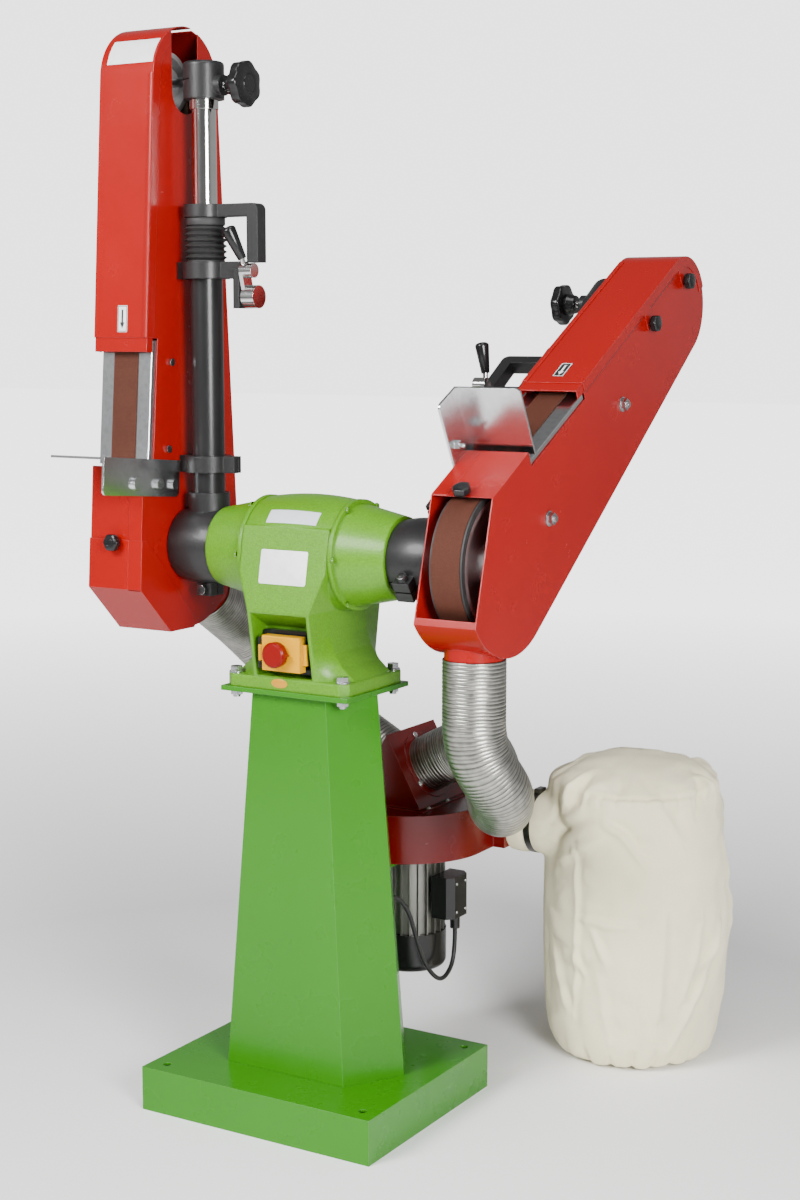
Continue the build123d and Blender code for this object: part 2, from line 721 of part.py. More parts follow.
def switch_base():
    """Backing plate, switch body and the lugs that hold the lid's hinge pin."""
    back = -RECESS_BACK_Y
    plate = block(-SWITCH_PLATE_X / 2, SWITCH_PLATE_X / 2, back - SWITCH_PLATE_T, back,
                  -SWITCH_DROP - SWITCH_PLATE_Z / 2, -SWITCH_DROP + SWITCH_PLATE_Z / 2)
    plate = fillet(plate.edges().filter_by(Axis.Y), SWITCH_PLATE_ROUND)
    reach = SWITCH_BODY_X / 2
    body = block(SWITCH_X - reach, SWITCH_X + reach, SWITCH_FRONT_Y, back - SWITCH_PLATE_T,
                 -SWITCH_DROP - SWITCH_BODY_Z / 2, -SWITCH_DROP + SWITCH_BODY_Z / 2)
    half = START_SIZE / 2 + RUN_FIT
    base = plate + body
    base -= block(START_X - half, START_X + half, SWITCH_FRONT_Y, SWITCH_FRONT_Y + START_SINK + STOP_TRAVEL,
                  -SWITCH_DROP - half, -SWITCH_DROP + half)
    for side in (-1, 1):
        low = -SWITCH_DROP + side * (HINGE_KNUCKLE / 2 + FACE_GAP)
        high = low + side * HINGE_LUG
        lug = block(HINGE_X - HINGE_R, HINGE_X + HINGE_R, HINGE_Y, back - SWITCH_PLATE_T, low, high)
        lug += rod((HINGE_X, HINGE_Y, low), (HINGE_X, HINGE_Y, high), HINGE_R)
        base += lug
    grip = HINGE_KNUCKLE / 2 + FACE_GAP
    pin_ends = (HINGE_X, HINGE_Y, -SWITCH_DROP - grip), (HINGE_X, HINGE_Y, -SWITCH_DROP + grip)
    return base + rod(*pin_ends, HINGE_PIN_R)


def switch_lid():
    """Hollow lid with its hinge knuckle, a catch, and a hole for the stop knob's stem."""
    half = LID_X / 2
    foot = -SWITCH_DROP - LID_Z / 2
    top = -SWITCH_DROP + LID_Z / 2
    lid = block(SWITCH_X - half, SWITCH_X + half, LID_FRONT_Y, LID_BACK_Y, foot, top)
    lid = fillet(lid.edges().group_by(Axis.Y)[0], LID_WALL)
    inner = half - LID_WALL
    lid -= block(SWITCH_X - inner, SWITCH_X + inner, LID_FRONT_Y + LID_WALL, LID_BACK_Y,
                 foot + LID_WALL, top - LID_WALL)
    low = -SWITCH_DROP - HINGE_KNUCKLE / 2
    knuckle = rod((HINGE_X, HINGE_Y, low), (HINGE_X, HINGE_Y, low + HINGE_KNUCKLE), HINGE_R)
    knuckle += block(HINGE_X, SWITCH_X - inner, HINGE_Y - HINGE_R / 2, HINGE_Y + HINGE_R / 2,
                     low, low + HINGE_KNUCKLE)
    edge = SWITCH_X + half
    catch = block(edge - LID_WALL, edge + CATCH_X, LID_BACK_Y - LID_T / 2, LID_BACK_Y - LID_T / 2 + CATCH_T,
                  -SWITCH_DROP - CATCH_Z / 2, -SWITCH_DROP + CATCH_Z / 2)
    lid += knuckle + catch
    lid -= rod((HINGE_X, HINGE_Y, low), (HINGE_X, HINGE_Y, low + HINGE_KNUCKLE), HINGE_PIN_R + RUN_FIT)
    hole = STOP_STEM_R + RUN_FIT
    return lid - rod((STOP_X, LID_BACK_Y, -SWITCH_DROP), (STOP_X, LID_FRONT_Y - 1, -SWITCH_DROP), hole)


def stop_knob():
    """Red mushroom knob with a pointed nose, on a stem through the lid."""
    back = LID_FRONT_Y - STOP_TRAVEL - FACE_GAP
    nose = Polygon((0, STOP_R * 0.8), (STOP_NOSE, 0), (0, -STOP_R * 0.8))
    plane = Plane(origin=(STOP_X, back, -SWITCH_DROP), x_dir=(1, 0, 0), z_dir=(0, -1, 0))
    head = extrude(plane * (Circle(STOP_R) + nose), amount=STOP_T, dir=(0, -1, 0))
    head = chamfer(head.faces().sort_by(Axis.Y)[0].edges(), STOP_BEVEL)
    stem_end = LID_BACK_Y - STOP_TRAVEL - FACE_GAP
    stem = rod((STOP_X, stem_end, -SWITCH_DROP), (STOP_X, back, -SWITCH_DROP), STOP_STEM_R)
    collar_y = LID_FRONT_Y + LID_WALL + FACE_GAP
    collar_ends = (STOP_X, collar_y + LID_WALL, -SWITCH_DROP), (STOP_X, collar_y, -SWITCH_DROP)
    return head + stem + rod(*collar_ends, STOP_STEM_R + STOP_BEVEL)


def start_button():
    """Square start button in the switch body, under the lid."""
    half = START_SIZE / 2
    return block(START_X - half, START_X + half, SWITCH_FRONT_Y - START_PROUD, SWITCH_FRONT_Y + START_SINK,
                 -SWITCH_DROP - half, -SWITCH_DROP + half)


# Arm outlines. An arm is drawn upright on the right-hand side, with the spindle at the origin.
# u runs up the arm and v to its front. Along the leaning belt, n is square to its face and s runs up it.

def sideways(face, x0, x1):
    """Solid of a side outline (v, u) between two distances from the machine's middle."""
    plane = Plane(origin=(x1, 0, 0), x_dir=(0, -1, 0), z_dir=(-1, 0, 0))
    return extrude(plane * face, amount=x1 - x0, dir=(-1, 0, 0))


def side_face(points):
    """Side outline through points (v, u)."""
    return Polygon(*[(point.X, point.Y) for point in points])


def along_belt(solid):
    """Turn a solid drawn in (x, -n, s) into the arm's own frame."""
    return Rot(X=-BELT_LEAN) * solid


def flank(low_r, top_v, top_u, top_r, side):
    """Ends of the straight flank that touches a circle about the spindle and a circle at the arm's top."""
    span = hypot(top_v, top_u)
    rise = (low_r - top_r) / span
    level = side * sqrt(1 - rise * rise)
    normal = Vector(level * top_u + rise * top_v, rise * top_u - level * top_v) / span
    return normal * low_r, Vector(top_v, top_u) + normal * top_r


def loop(low_r, top_r):
    """Outline round the contact wheel's and the idler's circles."""
    front_low, front_top = flank(low_r, 0, IDLER_U, top_r, 1)
    rear_low, rear_top = flank(low_r, 0, IDLER_U, top_r, -1)
    crest = ThreePointArc(front_top, (0, IDLER_U + top_r), rear_top)
    toe = ThreePointArc(rear_low, (0, -low_r), front_low)
    return area(Line(front_low, front_top), crest, Line(rear_top, rear_low), toe)


def front_flank():
    """Ends of the housing's front flank."""
    return flank(HOUSING_FRONT_R, HOUSING_TOP_V, HOUSING_TOP_U, HOUSING_TOP_R, 1)


def front_point(u, proud=0.0):
    """Point on the housing's front flank, or on its line run further, standing proud of it."""
    low, top = front_flank()
    way = top - low
    point = low + way * ((u - low.Y) / way.Y)
    return point + Vector(way.Y, -way.X).normalized() * proud


def window_line():
    """Window plane of the contact wheel: its normal, its top corner and its toe on the rear curve."""
    normal = Vector(cos(radians(WINDOW_ANGLE)), -sin(radians(WINDOW_ANGLE)))
    low, top = front_flank()
    share = (WINDOW_DISTANCE - low.dot(normal)) / (top - low).dot(normal)
    down = Vector(normal.Y, -normal.X)
    toe = normal * WINDOW_DISTANCE + down * sqrt(HOUSING_REAR_R ** 2 - WINDOW_DISTANCE ** 2)
    return normal, low + (top - low) * share, toe


def housing_outline():
    """Side outline of the housing, cut off at the window plane."""
    normal, corner, toe = window_line()
    front_top = front_flank()[1]
    rear_low, rear_top = flank(HOUSING_REAR_R, HOUSING_TOP_V, HOUSING_TOP_U, HOUSING_TOP_R, -1)
    crest = ThreePointArc(front_top, (HOUSING_TOP_V, HOUSING_TOP_U + HOUSING_TOP_R), rear_top)
    heel = (toe + rear_low).normalized() * HOUSING_REAR_R
    return area(Line(toe, corner), Line(corner, front_top), crest, Line(rear_top, rear_low),
                ThreePointArc(rear_low, heel, toe))


def port_points():
    """Hose spigot: start inside the housing, and its way out, in (x, y, z)."""
    out = Vector(0, sin(radians(SPIGOT_PORT_ANGLE)), -cos(radians(SPIGOT_PORT_ANGLE)))
    across = Vector(0, -cos(radians(SPIGOT_PORT_ANGLE)), -sin(radians(SPIGOT_PORT_ANGLE)))
    return Vector(BELT_X, 0, 0) + across * SPIGOT_PORT_OFFSET, out


def through_bolt_heights():
    """Heights of the two bolts that hold the housing on its tube clamps."""
    return CLAMP_LOW_U, CLAMP_HIGH_U


# Arm pieces

def notch():
    """Cut-out of the front for the platen, which leaves a lip under the cover's end."""
    belt_n = BELT_IN_R - NOTCH_BEHIND_BELT
    lip_n = front_point(COVER_LOW_U).X + COVER_LOW_U * sin(radians(BELT_LEAN)) - LIP_DEPTH
    far = HOUSING_REAR_R
    wide = HOUSING_INNER_X - HOUSING_SHEET, OUTER_X + HOUSING_SHEET
    room = block(*wide, -far, -belt_n, NOTCH_LOW_S, NOTCH_HIGH_S - LIP_LENGTH)
    room += block(*wide, -lip_n, -belt_n, NOTCH_LOW_S, NOTCH_HIGH_S)
    return along_belt(room)


def belt_housing():
    """Folded belt housing with its window, notch, axle slot and hose spigot."""
    outline = housing_outline()
    inner_x0 = HOUSING_INNER_X + HOUSING_SHEET
    inner_x1 = OUTER_X - HOUSING_SHEET
    room = sideways(offset(outline, -HOUSING_SHEET), inner_x0, inner_x1)
    start, out = port_points()
    spigot = rod(start, start + out * SPIGOT_PORT_REACH, SPIGOT_PORT_R)
    body = sideways(outline, HOUSING_INNER_X, OUTER_X) + spigot - room
    body -= rod(start, start + out * (SPIGOT_PORT_REACH + 1), SPIGOT_PORT_R - SPIGOT_PORT_WALL)
    normal, corner, toe = window_line()
    strip_top = toe + (corner - toe).normalized() * WINDOW_STRIP
    deep = normal * (HOUSING_SHEET * 2)
    window = side_face([corner + deep, corner - deep, strip_top - deep, strip_top + deep])
    body -= sideways(window, inner_x0, inner_x1)
    tall = HOUSING_TOP_U + HOUSING_TOP_R + 1
    body -= block(inner_x0, inner_x1, -HOUSING_FRONT_R, -COVER_OPENING_V, COVER_OPENING_U, tall)
    body -= notch()
    slot_r = AXLE_SLOT_WIDTH / 2
    slot_u = AXLE_SLOT_LOW_U + slot_r
    slot_y = -AXLE_SLOT_V
    inner_plate = HOUSING_INNER_X - 1, inner_x0
    body -= block(*inner_plate, slot_y - slot_r, slot_y + slot_r, slot_u, tall)
    body -= rod((inner_plate[0], slot_y, slot_u), (inner_x0, slot_y, slot_u), slot_r)
    body -= rod((inner_plate[0], 0, 0), (inner_x0, 0, 0), SHAFT_HOLE_R)
    panel_low = corner.Y + 2
    panel_high = panel_low + NOTCH_LOW_S - 2 * HOUSING_SHEET
    rail = [front_point(panel_low), front_point(panel_high), front_point(panel_high, PANEL_STRIP_T),
            front_point(panel_low, PANEL_STRIP_T)]
    body += sideways(side_face(rail), HOUSING_INNER_X, HOUSING_INNER_X + PANEL_STRIP_WIDTH)
    for u in through_bolt_heights():
        ends = (HOUSING_INNER_X - 1, -THROUGH_BOLT_V, u), (OUTER_X + 1, -THROUGH_BOLT_V, u)
        body -= rod(*ends, THROUGH_BOLT_R + SEAT_FIT)
    for s in PLATEN_BOLTS_S:
        ends = (inner_plate[0], -PLATEN_BOLT_N, s), (inner_x0, -PLATEN_BOLT_N, s)
        body -= along_belt(rod(*ends, TABLE_BOLT_R + SEAT_FIT))
    for n in TABLE_BOLTS_N:
        ends = (inner_plate[0], -n, TABLE_BOLT_S), (inner_x0, -n, TABLE_BOLT_S)
        body -= along_belt(rod(*ends, TABLE_BOLT_R + SEAT_FIT))
    return body


def cover_ears():
    """Outline of the two tongues under the cover's knobs."""
    ears = Sketch()
    for v, u in COVER_KNOBS:
        reach = HOUSING_FRONT_R - v
        ears += Pos(v + reach / 2, u) * Rectangle(reach, 2 * COVER_EAR_R)
        ears += Pos(v, u) * Circle(COVER_EAR_R)
    return ears


def front_cover():
    """Channel over the front and the crest, with flanges on both sides and ears under its knobs."""
    outline = housing_outline()
    skin = offset(outline, COVER_SHEET)
    tall = HOUSING_TOP_U + HOUSING_TOP_R + 2 * COVER_SHEET
    wide = 2 * HOUSING_REAR_R
    bend_u = HOUSING_TOP_U
    ahead = [(wide, COVER_LOW_U), (wide, tall)]
    zone = Polygon((0, COVER_LOW_U), *ahead, (COVER_END_V, tall), (COVER_END_V, bend_u), (0, bend_u))
    inner_zone = Polygon((COVER_INNER_LIMIT_V, COVER_LOW_U), *ahead, (COVER_INNER_LIMIT_V, tall))
    rim = skin - offset(outline, -COVER_FLANGE)
    x0 = HOUSING_INNER_X - COVER_SHEET
    x1 = OUTER_X + COVER_SHEET
    cover = sideways((skin - outline) & zone, x0, x1)
    cover += sideways(rim & inner_zone, x0, HOUSING_INNER_X)
    cover += sideways((rim & zone) + (cover_ears() & skin), OUTER_X, x1)
    for v, u in COVER_KNOBS:
        cover -= rod((OUTER_X, -v, u), (x1, -v, u), KNOB_STEM_R + SEAT_FIT)
    return cover


def guard_outline(proud):
    """Outline of the contact-wheel cover's outer skin, standing proud of its inner face."""
    normal, corner, toe = window_line()
    low = front_point(GUARD_LOW_U, proud)
    floor = -HOUSING_REAR_R - FACE_GAP
    slope = 0.414 * proud
    points = [front_point(GUARD_TOP_U, proud), low, Vector(GUARD_TOE_V + slope, floor - proud),
              Vector(GUARD_HEEL_V, floor - proud)]
    return points


def wheel_cover():
    """Cover over the contact wheel's window: folded front with a cheek on each side."""
    outer = guard_outline(COVER_SHEET)
    inner = guard_outline(0)
    normal, corner, toe = window_line()
    back = [toe - normal * GUARD_OVERLAP, corner - normal * GUARD_OVERLAP]
    skin = side_face(outer + inner[::-1])
    cheek = side_face(outer + back)
    x0 = HOUSING_INNER_X - COVER_SHEET
    x1 = OUTER_X + COVER_SHEET
    cover = sideways(skin, x0, x1) + sideways(cheek, x0, HOUSING_INNER_X) + sideways(cheek, OUTER_X, x1)
    high = GUARD_TOP_U + 1
    low = GUARD_LOW_U - HOUSING_SHEET
    strip = [front_point(low, -1), front_point(high, -1), front_point(high, PANEL_STRIP_T),
             front_point(low, PANEL_STRIP_T)]
    cover -= sideways(side_face(strip), HOUSING_INNER_X, HOUSING_INNER_X + PANEL_STRIP_WIDTH)
    start, way = guard_knob_seat(0)
    return cover - rod(start - way, start + way * 3, KNOB_STEM_R + SEAT_FIT)


def guard_knob_seat(proud):
    """Place and way of the contact-wheel cover's knob, in (x, y, z)."""
    here = front_point(GUARD_KNOB_U, proud)
    ahead = front_point(GUARD_KNOB_U, proud + 1) - here
    return Vector(BELT_X, -here.X, here.Y), Vector(0, -ahead.X, ahead.Y)


def clamp_knobs(guard_sheet):
    """The two knobs of the front cover and the knob of the contact-wheel cover."""
    face = OUTER_X + COVER_SHEET
    knobs = [star_knob((face, -v, u), (1, 0, 0), KNOB_R, KNOB_T, KNOB_LOBES) for v, u in COVER_KNOBS]
    start, way = guard_knob_seat(guard_sheet)
    return group(*knobs, star_knob(start, way, KNOB_R, KNOB_T, KNOB_LOBES))


def platen():
    """Folded platen behind the belt's front run, with side flanges inside the housing."""
    front = -(BELT_IN_R - SOFT_GAP)
    x0 = HOUSING_INNER_X + HOUSING_SHEET + PLATEN_SIDE_GAP
    x1 = OUTER_X - HOUSING_SHEET - PLATEN_SIDE_GAP
    low = NOTCH_LOW_S + PLATEN_CLEAR
    high = NOTCH_HIGH_S - PLATEN_CLEAR
    body = block(x0, x1, front, front + PLATEN_DEPTH, low, high)
    body = fillet(body.faces().sort_by(Axis.Y)[0].edges().filter_by(Axis.Z), PLATEN_SHEET)
    back = front + PLATEN_DEPTH
    body -= block(x0 + PLATEN_SHEET, x1 - PLATEN_SHEET, front + PLATEN_SHEET, back, low, high)
    for s in PLATEN_BOLTS_S:
        body -= rod((x0, -PLATEN_BOLT_N, s), (x0 + PLATEN_SHEET, -PLATEN_BOLT_N, s), TABLE_BOLT_R + SEAT_FIT)
    return along_belt(body)


def work_table():
    """Table plate with a slotted flange that hangs beside the housing, and its stud with a nut."""
    near = -(BELT_IN_R + BELT_T + TABLE_TO_BELT)
    far = near - TABLE_REACH
    x0 = HOUSING_INNER_X - FACE_GAP - TABLE_SHEET
    x1 = OUTER_X + TABLE_OVERHANG
    top = TABLE_S
    low = top - TABLE_FLANGE_DROP
    plate = block(x0, x1, far, near, top - TABLE_SHEET, top)
    plate = fillet(plate.edges().filter_by(Axis.Z).sort_by(Axis.X)[-2:].sort_by(Axis.Y)[0], TABLE_CORNER)
    flange = block(x0, x0 + TABLE_SHEET, far, -TABLE_FLANGE_REAR_N, low, top)
    lower = flange.edges().filter_by(Axis.X).group_by(Axis.Z)[0]
    flange = fillet(lower, TABLE_CORNER)
    slot_r = TABLE_BOLT_R + FACE_GAP
    face = x0 + TABLE_SHEET
    for n in TABLE_BOLTS_N:
        flange -= block(x0, face, -n, TABLE_TRAVEL - n, TABLE_BOLT_S - slot_r, TABLE_BOLT_S + slot_r)
        for end in (-n, TABLE_TRAVEL - n):
            flange -= rod((x0, end, TABLE_BOLT_S), (face, end, TABLE_BOLT_S), slot_r)

    def on_stud(x):
        return x, -TABLE_STUD_N, TABLE_BOLT_S

    flange -= rod(on_stud(x0), on_stud(face), TABLE_BOLT_R + SEAT_FIT)
    stud = rod(on_stud(x0 - TABLE_BOLT_HEAD_T), on_stud(x0), TABLE_STUD_HEAD_R)
    stud += rod(on_stud(x0), on_stud(face + 4 * TABLE_SHEET), TABLE_BOLT_R)
    nut_ends = on_stud(face), on_stud(face + 2 * TABLE_SHEET)
    nut = hexagon_bar(*nut_ends, TABLE_BOLT_HEAD_R)
    nut -= rod(*nut_ends, TABLE_BOLT_R + SEAT_FIT)
    return along_belt(group(plate + flange, stud, nut))


def abrasive_belt():
    """Endless abrasive belt round the contact wheel and the idler."""
    band = loop(BELT_IN_R + BELT_T, IDLER_IN_R + BELT_T) - loop(BELT_IN_R, IDLER_IN_R)
    return sideways(band, BELT_X - BELT_WIDTH / 2, BELT_X + BELT_WIDTH / 2)


def pivot_hub():
    """Cast hub that clamps on the end bell's spigot and holds the support tube."""
    x0 = BELL_END_X + SOFT_GAP
    x1 = HOUSING_INNER_X - HUB_PLATE_GAP
    swell = ThreePointArc((x0, HUB_END_R), ((x0 + x1) / 2, HUB_R), (x1, HUB_END_R))
    ends = Polyline((x1, HUB_END_R), (x1, 0), (x0, 0), (x0, HUB_END_R))
    hub = revolve(Plane.XZ * area(swell, ends), Axis.X)
    hub += rod((TUBE_X, 0, 0), (TUBE_X, 0, HUB_STUB_TOP), HUB_STUB_R)
    half = HUB_LUG_X / 2
    hub += block(TUBE_X - half, TUBE_X + half, -HUB_LUG_Y / 2, HUB_LUG_Y / 2, -HUB_LUG_LOW, -SPIGOT_R)
    hub -= rod((x0, 0, 0), (x1, 0, 0), SPIGOT_R + RUN_FIT)
    hub -= rod((TUBE_X, 0, TUBE_FOOT_U), (TUBE_X, 0, HUB_STUB_TOP), TUBE_R + SEAT_FIT)
    hub -= block(x0, x1, -HUB_SLIT / 2, HUB_SLIT / 2, -HUB_LUG_LOW, -SPIGOT_R)
    screw = (TUBE_X, -HUB_LUG_Y / 2, -PINCH_DROP), (TUBE_X, HUB_LUG_Y / 2, -PINCH_DROP)
    return hub - rod(*screw, PINCH_SCREW_R + SEAT_FIT)


def support_tube():
    """Tube that stands in the hub and carries the slide tube inside."""
    return rod((TUBE_X, 0, TUBE_FOOT_U), (TUBE_X, 0, TUBE_TOP_U), TUBE_R, SLIDE_R + RUN_FIT)


def tube_clamp(u):
    """Clamp ring with an ear to the housing and a slit tail toward the machine's middle."""
    low = u - CLAMP_T / 2
    high = u + CLAMP_T / 2
    ring = rod((TUBE_X, 0, low), (TUBE_X, 0, high), CLAMP_R)
    ring += block(TUBE_X, HOUSING_INNER_X, -CLAMP_EAR_HALF, CLAMP_EAR_HALF, low, high)
    ring += block(TUBE_X - CLAMP_TAIL_REACH, TUBE_X, -CLAMP_TAIL_HALF, CLAMP_TAIL_HALF, low, high)
    ring -= rod((TUBE_X, 0, low), (TUBE_X, 0, high), TUBE_R + SEAT_FIT)
    tail_x = TUBE_X - CLAMP_TAIL_REACH
    ring -= block(tail_x, TUBE_X, -CLAMP_SLIT / 2, CLAMP_SLIT / 2, low, high)
    ring -= through_bolt_room(u)
    return ring


def through_bolt_room(u):
    """Hole for a through bolt in its clamp's ear."""
    start = TUBE_X + sqrt(CLAMP_R ** 2 - THROUGH_BOLT_V ** 2) - 1
    return rod((start, -THROUGH_BOLT_V, u), (HOUSING_INNER_X, -THROUGH_BOLT_V, u), THROUGH_BOLT_R + SEAT_FIT)


def tube_clamps():
    """Both tube clamps. The upper one's tail carries the bracket of the tension lever."""
    upper = tube_clamp(CLAMP_HIGH_U)
    bracket_x1 = BRACKET_X + BRACKET_T
    top = CLAMP_HIGH_U + CLAMP_T / 2
    tail_x = TUBE_X - CLAMP_TAIL_REACH
    half = CLAMP_TAIL_HALF
    upper += block(bracket_x1, tail_x, -half, half, top - CLAMP_T, top)
    upper += block(BRACKET_X, bracket_x1, -half, half, BRACKET_LOW_U, top)
    upper += block(BRACKET_X, bracket_x1, -BRACKET_HALF, BRACKET_HALF, BRACKET_LOW_U, top - BRACKET_T)
    upper += rod((BRACKET_X, 0, LEVER_PIVOT_U), (lever_cap_x(), 0, LEVER_PIVOT_U), LEVER_PIN_R)
    return group(tube_clamp(CLAMP_LOW_U), upper)


def slide_tube():
    """Chromed tube that slides in the support tube, with a collar under the head."""
    tube = rod((TUBE_X, 0, SLIDE_LOW_U), (TUBE_X, 0, HEAD_LOW_U + HEAD_SEAT), SLIDE_R, SLIDE_BORE_R)
    collar_ends = (TUBE_X, 0, HEAD_LOW_U - SLIDE_COLLAR_T), (TUBE_X, 0, HEAD_LOW_U)
    return tube + rod(*collar_ends, SLIDE_COLLAR_R, SLIDE_BORE_R)


def axle_line():
    """X of the axle's inner end and of its tilt pin."""
    return TUBE_X - HEAD_CAVITY_R + 1, TUBE_X


def head_casting():
    """Head on the slide tube: holds the axle's tilt pin and the tracking screw's boss."""
    head = rod((TUBE_X, 0, HEAD_LOW_U), (TUBE_X, 0, HEAD_TOP_U), HEAD_R)
    head = fillet(head.edges().group_by(Axis.Z)[-1], HEAD_ROUND)
    screw_u = IDLER_U - TRACK_SCREW_DROP
    head += rod((HEAD_BOSS_X, 0, screw_u), (TUBE_X, 0, screw_u), HEAD_BOSS_R)
    groove = rod((TUBE_X, 0, IDLER_U - HEAD_GROOVE / 2), (TUBE_X, 0, IDLER_U + HEAD_GROOVE / 2), HEAD_R + 1,
                 HEAD_R - HEAD_GROOVE)
    head -= groove & block(TUBE_X, TUBE_X + HEAD_R + 1, -HEAD_R - 1, HEAD_R + 1, HEAD_LOW_U, HEAD_TOP_U)
    head -= rod((TUBE_X, 0, HEAD_LOW_U), (TUBE_X, 0, HEAD_LOW_U + HEAD_SEAT), SLIDE_R + SEAT_FIT)
    cavity_u = IDLER_U - AXLE_TAIL_DROP / 3
    head -= rod((TUBE_X - HEAD_CAVITY_R, 0, cavity_u), (TUBE_X + HEAD_R, 0, cavity_u), HEAD_CAVITY_R)
    head -= rod((HEAD_BOSS_X, 0, screw_u), (TUBE_X, 0, screw_u), TRACK_SCREW_R + RUN_FIT)
    pin_ends = (TUBE_X, -HEAD_R, IDLER_U), (TUBE_X, HEAD_R, IDLER_U)
    return head - rod(*pin_ends, TILT_PIN_R + SEAT_FIT)


def hook_clamp():
    """Clamp on the slide tube with a hooked arm whose leg stands over the lever's roller."""
    top = HOOK_LOW_U + HOOK_T
    hook = rod((TUBE_X, 0, HOOK_LOW_U), (TUBE_X, 0, top), HOOK_R)
    hook += block(HOOK_LEG_X, TUBE_X, -HOOK_HALF, HOOK_HALF, HOOK_LOW_U, top)
    foot = LEVER_PIVOT_U + ROLLER_THROW * cos(radians(LEFT_LEVER_LEAN)) + ROLLER_R + HOOK_TO_ROLLER
    hook += block(HOOK_LEG_X, HOOK_LEG_X + HOOK_LEG_T, -HOOK_HALF, HOOK_HALF, foot, top)
    hook = fillet(hook.edges().filter_by(Axis.Y).sort_by_distance((HOOK_LEG_X, 0, top))[0], HOOK_HALF)
    return hook - rod((TUBE_X, 0, HOOK_LOW_U), (TUBE_X, 0, top), SLIDE_R + SEAT_FIT)


def slide_castings():
    """Head, hook clamp and the axle's tilt pin."""
    pin = rod((TUBE_X, -HEAD_R, IDLER_U), (TUBE_X, HEAD_R, IDLER_U), TILT_PIN_R)
    return group(head_casting(), hook_clamp(), pin)


def bellows():
    """Rubber bellows over the slide tube, between the upper clamp and the hook clamp."""
    low = TUBE_TOP_U + SOFT_GAP
    pitch = (HOOK_LOW_U - SOFT_GAP - low) / BELLOWS_PLEATS
    points = [(BELLOWS_BORE_R, low), (BELLOWS_VALLEY_R, low)]
    for pleat in range(BELLOWS_PLEATS):
        foot = low + pleat * pitch
        points += [(BELLOWS_R, foot + pitch / 2), (BELLOWS_VALLEY_R, foot + pitch)]
    points.append((BELLOWS_BORE_R, low + BELLOWS_PLEATS * pitch))
    return Pos(TUBE_X, 0, 0) * revolve(Plane.XZ * Polygon(*points), Axis.Z)


def idler_wheel():
    """Idler wheel: crowned rim, web and hub, running on its axle."""
    half_web = IDLER_WEB_T / 2
    half = IDLER_WIDTH / 2
    rim_in = IDLER_R - IDLER_RIM_T
    right = [(half, AXLE_R + RUN_FIT), (half, IDLER_HUB_R), (half_web, IDLER_HUB_R), (half_web, rim_in),
             (half, rim_in), (half, IDLER_R - 1), (half - 6, IDLER_R)]
    wheel = turned([(BELT_X + x, r) for x, r in right] + [(BELT_X - x, r) for x, r in reversed(right)])
    return Pos(0, 0, IDLER_U) * wheel


def idler_axle():
    """Axle of the idler, with a collar at each end of the wheel and a tail for the tracking screw."""
    x0, pin_x = axle_line()
    half = IDLER_WIDTH / 2 + FACE_GAP
    axle = rod((x0, 0, IDLER_U), (BELT_X + half + AXLE_COLLAR_T, 0, IDLER_U), AXLE_R)
    for x in (BELT_X - half - AXLE_COLLAR_T, BELT_X + half):
        axle += rod((x, 0, IDLER_U), (x + AXLE_COLLAR_T, 0, IDLER_U), AXLE_COLLAR_R)
    tail_half = AXLE_TAIL_WIDTH / 2
    axle += block(x0, x0 + AXLE_TAIL_T, -tail_half, tail_half, IDLER_U - AXLE_TAIL_DROP, IDLER_U)
    return axle - rod((pin_x, -AXLE_R, IDLER_U), (pin_x, AXLE_R, IDLER_U), TILT_PIN_R + RUN_FIT)


def tracking_knob():
    """Star knob with the screw that pushes on the axle's tail."""
    u = IDLER_U - TRACK_SCREW_DROP
    back = TRACK_KNOB_X + TRACK_KNOB_T / 2
    knob = star_knob((back, 0, u), (-1, 0, 0), TRACK_KNOB_R, TRACK_KNOB_T, TRACK_KNOB_LOBES)
    knob += rod((back, 0, u), (back + TRACK_HUB_T, 0, u), TRACK_HUB_R)
    tip = axle_line()[0] - TRACK_TIP_GAP
    return knob + rod((back, 0, u), (tip, 0, u), TRACK_SCREW_R)


def lever_cap_x():
    """X of the lever's face toward the machine's middle."""
    return BRACKET_X - LEVER_PLATE_GAP - LEVER_PLATE_T


def tension_lever(lean, shift):
    """Tension lever: pivot cap, roller and a rod with a tapered grip, leaned to the front."""
    plate_x1 = BRACKET_X - LEVER_PLATE_GAP
    plate_x0 = lever_cap_x()
    link = Pos(0, ROLLER_THROW / 2) * SlotCenterToCenter(ROLLER_THROW, 2 * ROLLER_R, 90)
    lever = sideways(link, plate_x0, plate_x1)
    lever += rod((plate_x0 - LEVER_CAP_T, 0, 0), (plate_x1, 0, 0), LEVER_CAP_R)
    lever += rod((plate_x0 - ROLLER_T, 0, ROLLER_THROW), (plate_x0, 0, ROLLER_THROW), ROLLER_R)
    lever -= rod((plate_x0, 0, 0), (plate_x1, 0, 0), LEVER_PIN_R + RUN_FIT)
    middle = (plate_x0 + plate_x1) / 2
    foot = Vector(middle, 0, ROLLER_THROW + ROLLER_R / 2)
    neck = Vector(middle, 0, GRIP_START)
    tip = Vector(middle + shift, 0, GRIP_START + GRIP_LENGTH)
    way = (tip - neck).normalized()
    lever += rod(foot, neck + way * 2, LEVER_ROD_R)
    length = (tip - neck).length
    shoulder = length - GRIP_R / 2
    swell = Polygon((0, 0), (GRIP_NECK_R, 0), (GRIP_R, shoulder), (GRIP_R / 2, length), (0, length))
    lever += Plane(origin=neck, x_dir=(0, 1, 0), z_dir=way) * revolve(Plane.XZ * swell, Axis.Z)
    return Pos(0, 0, LEVER_PIVOT_U) * Rot(X=lean) * lever


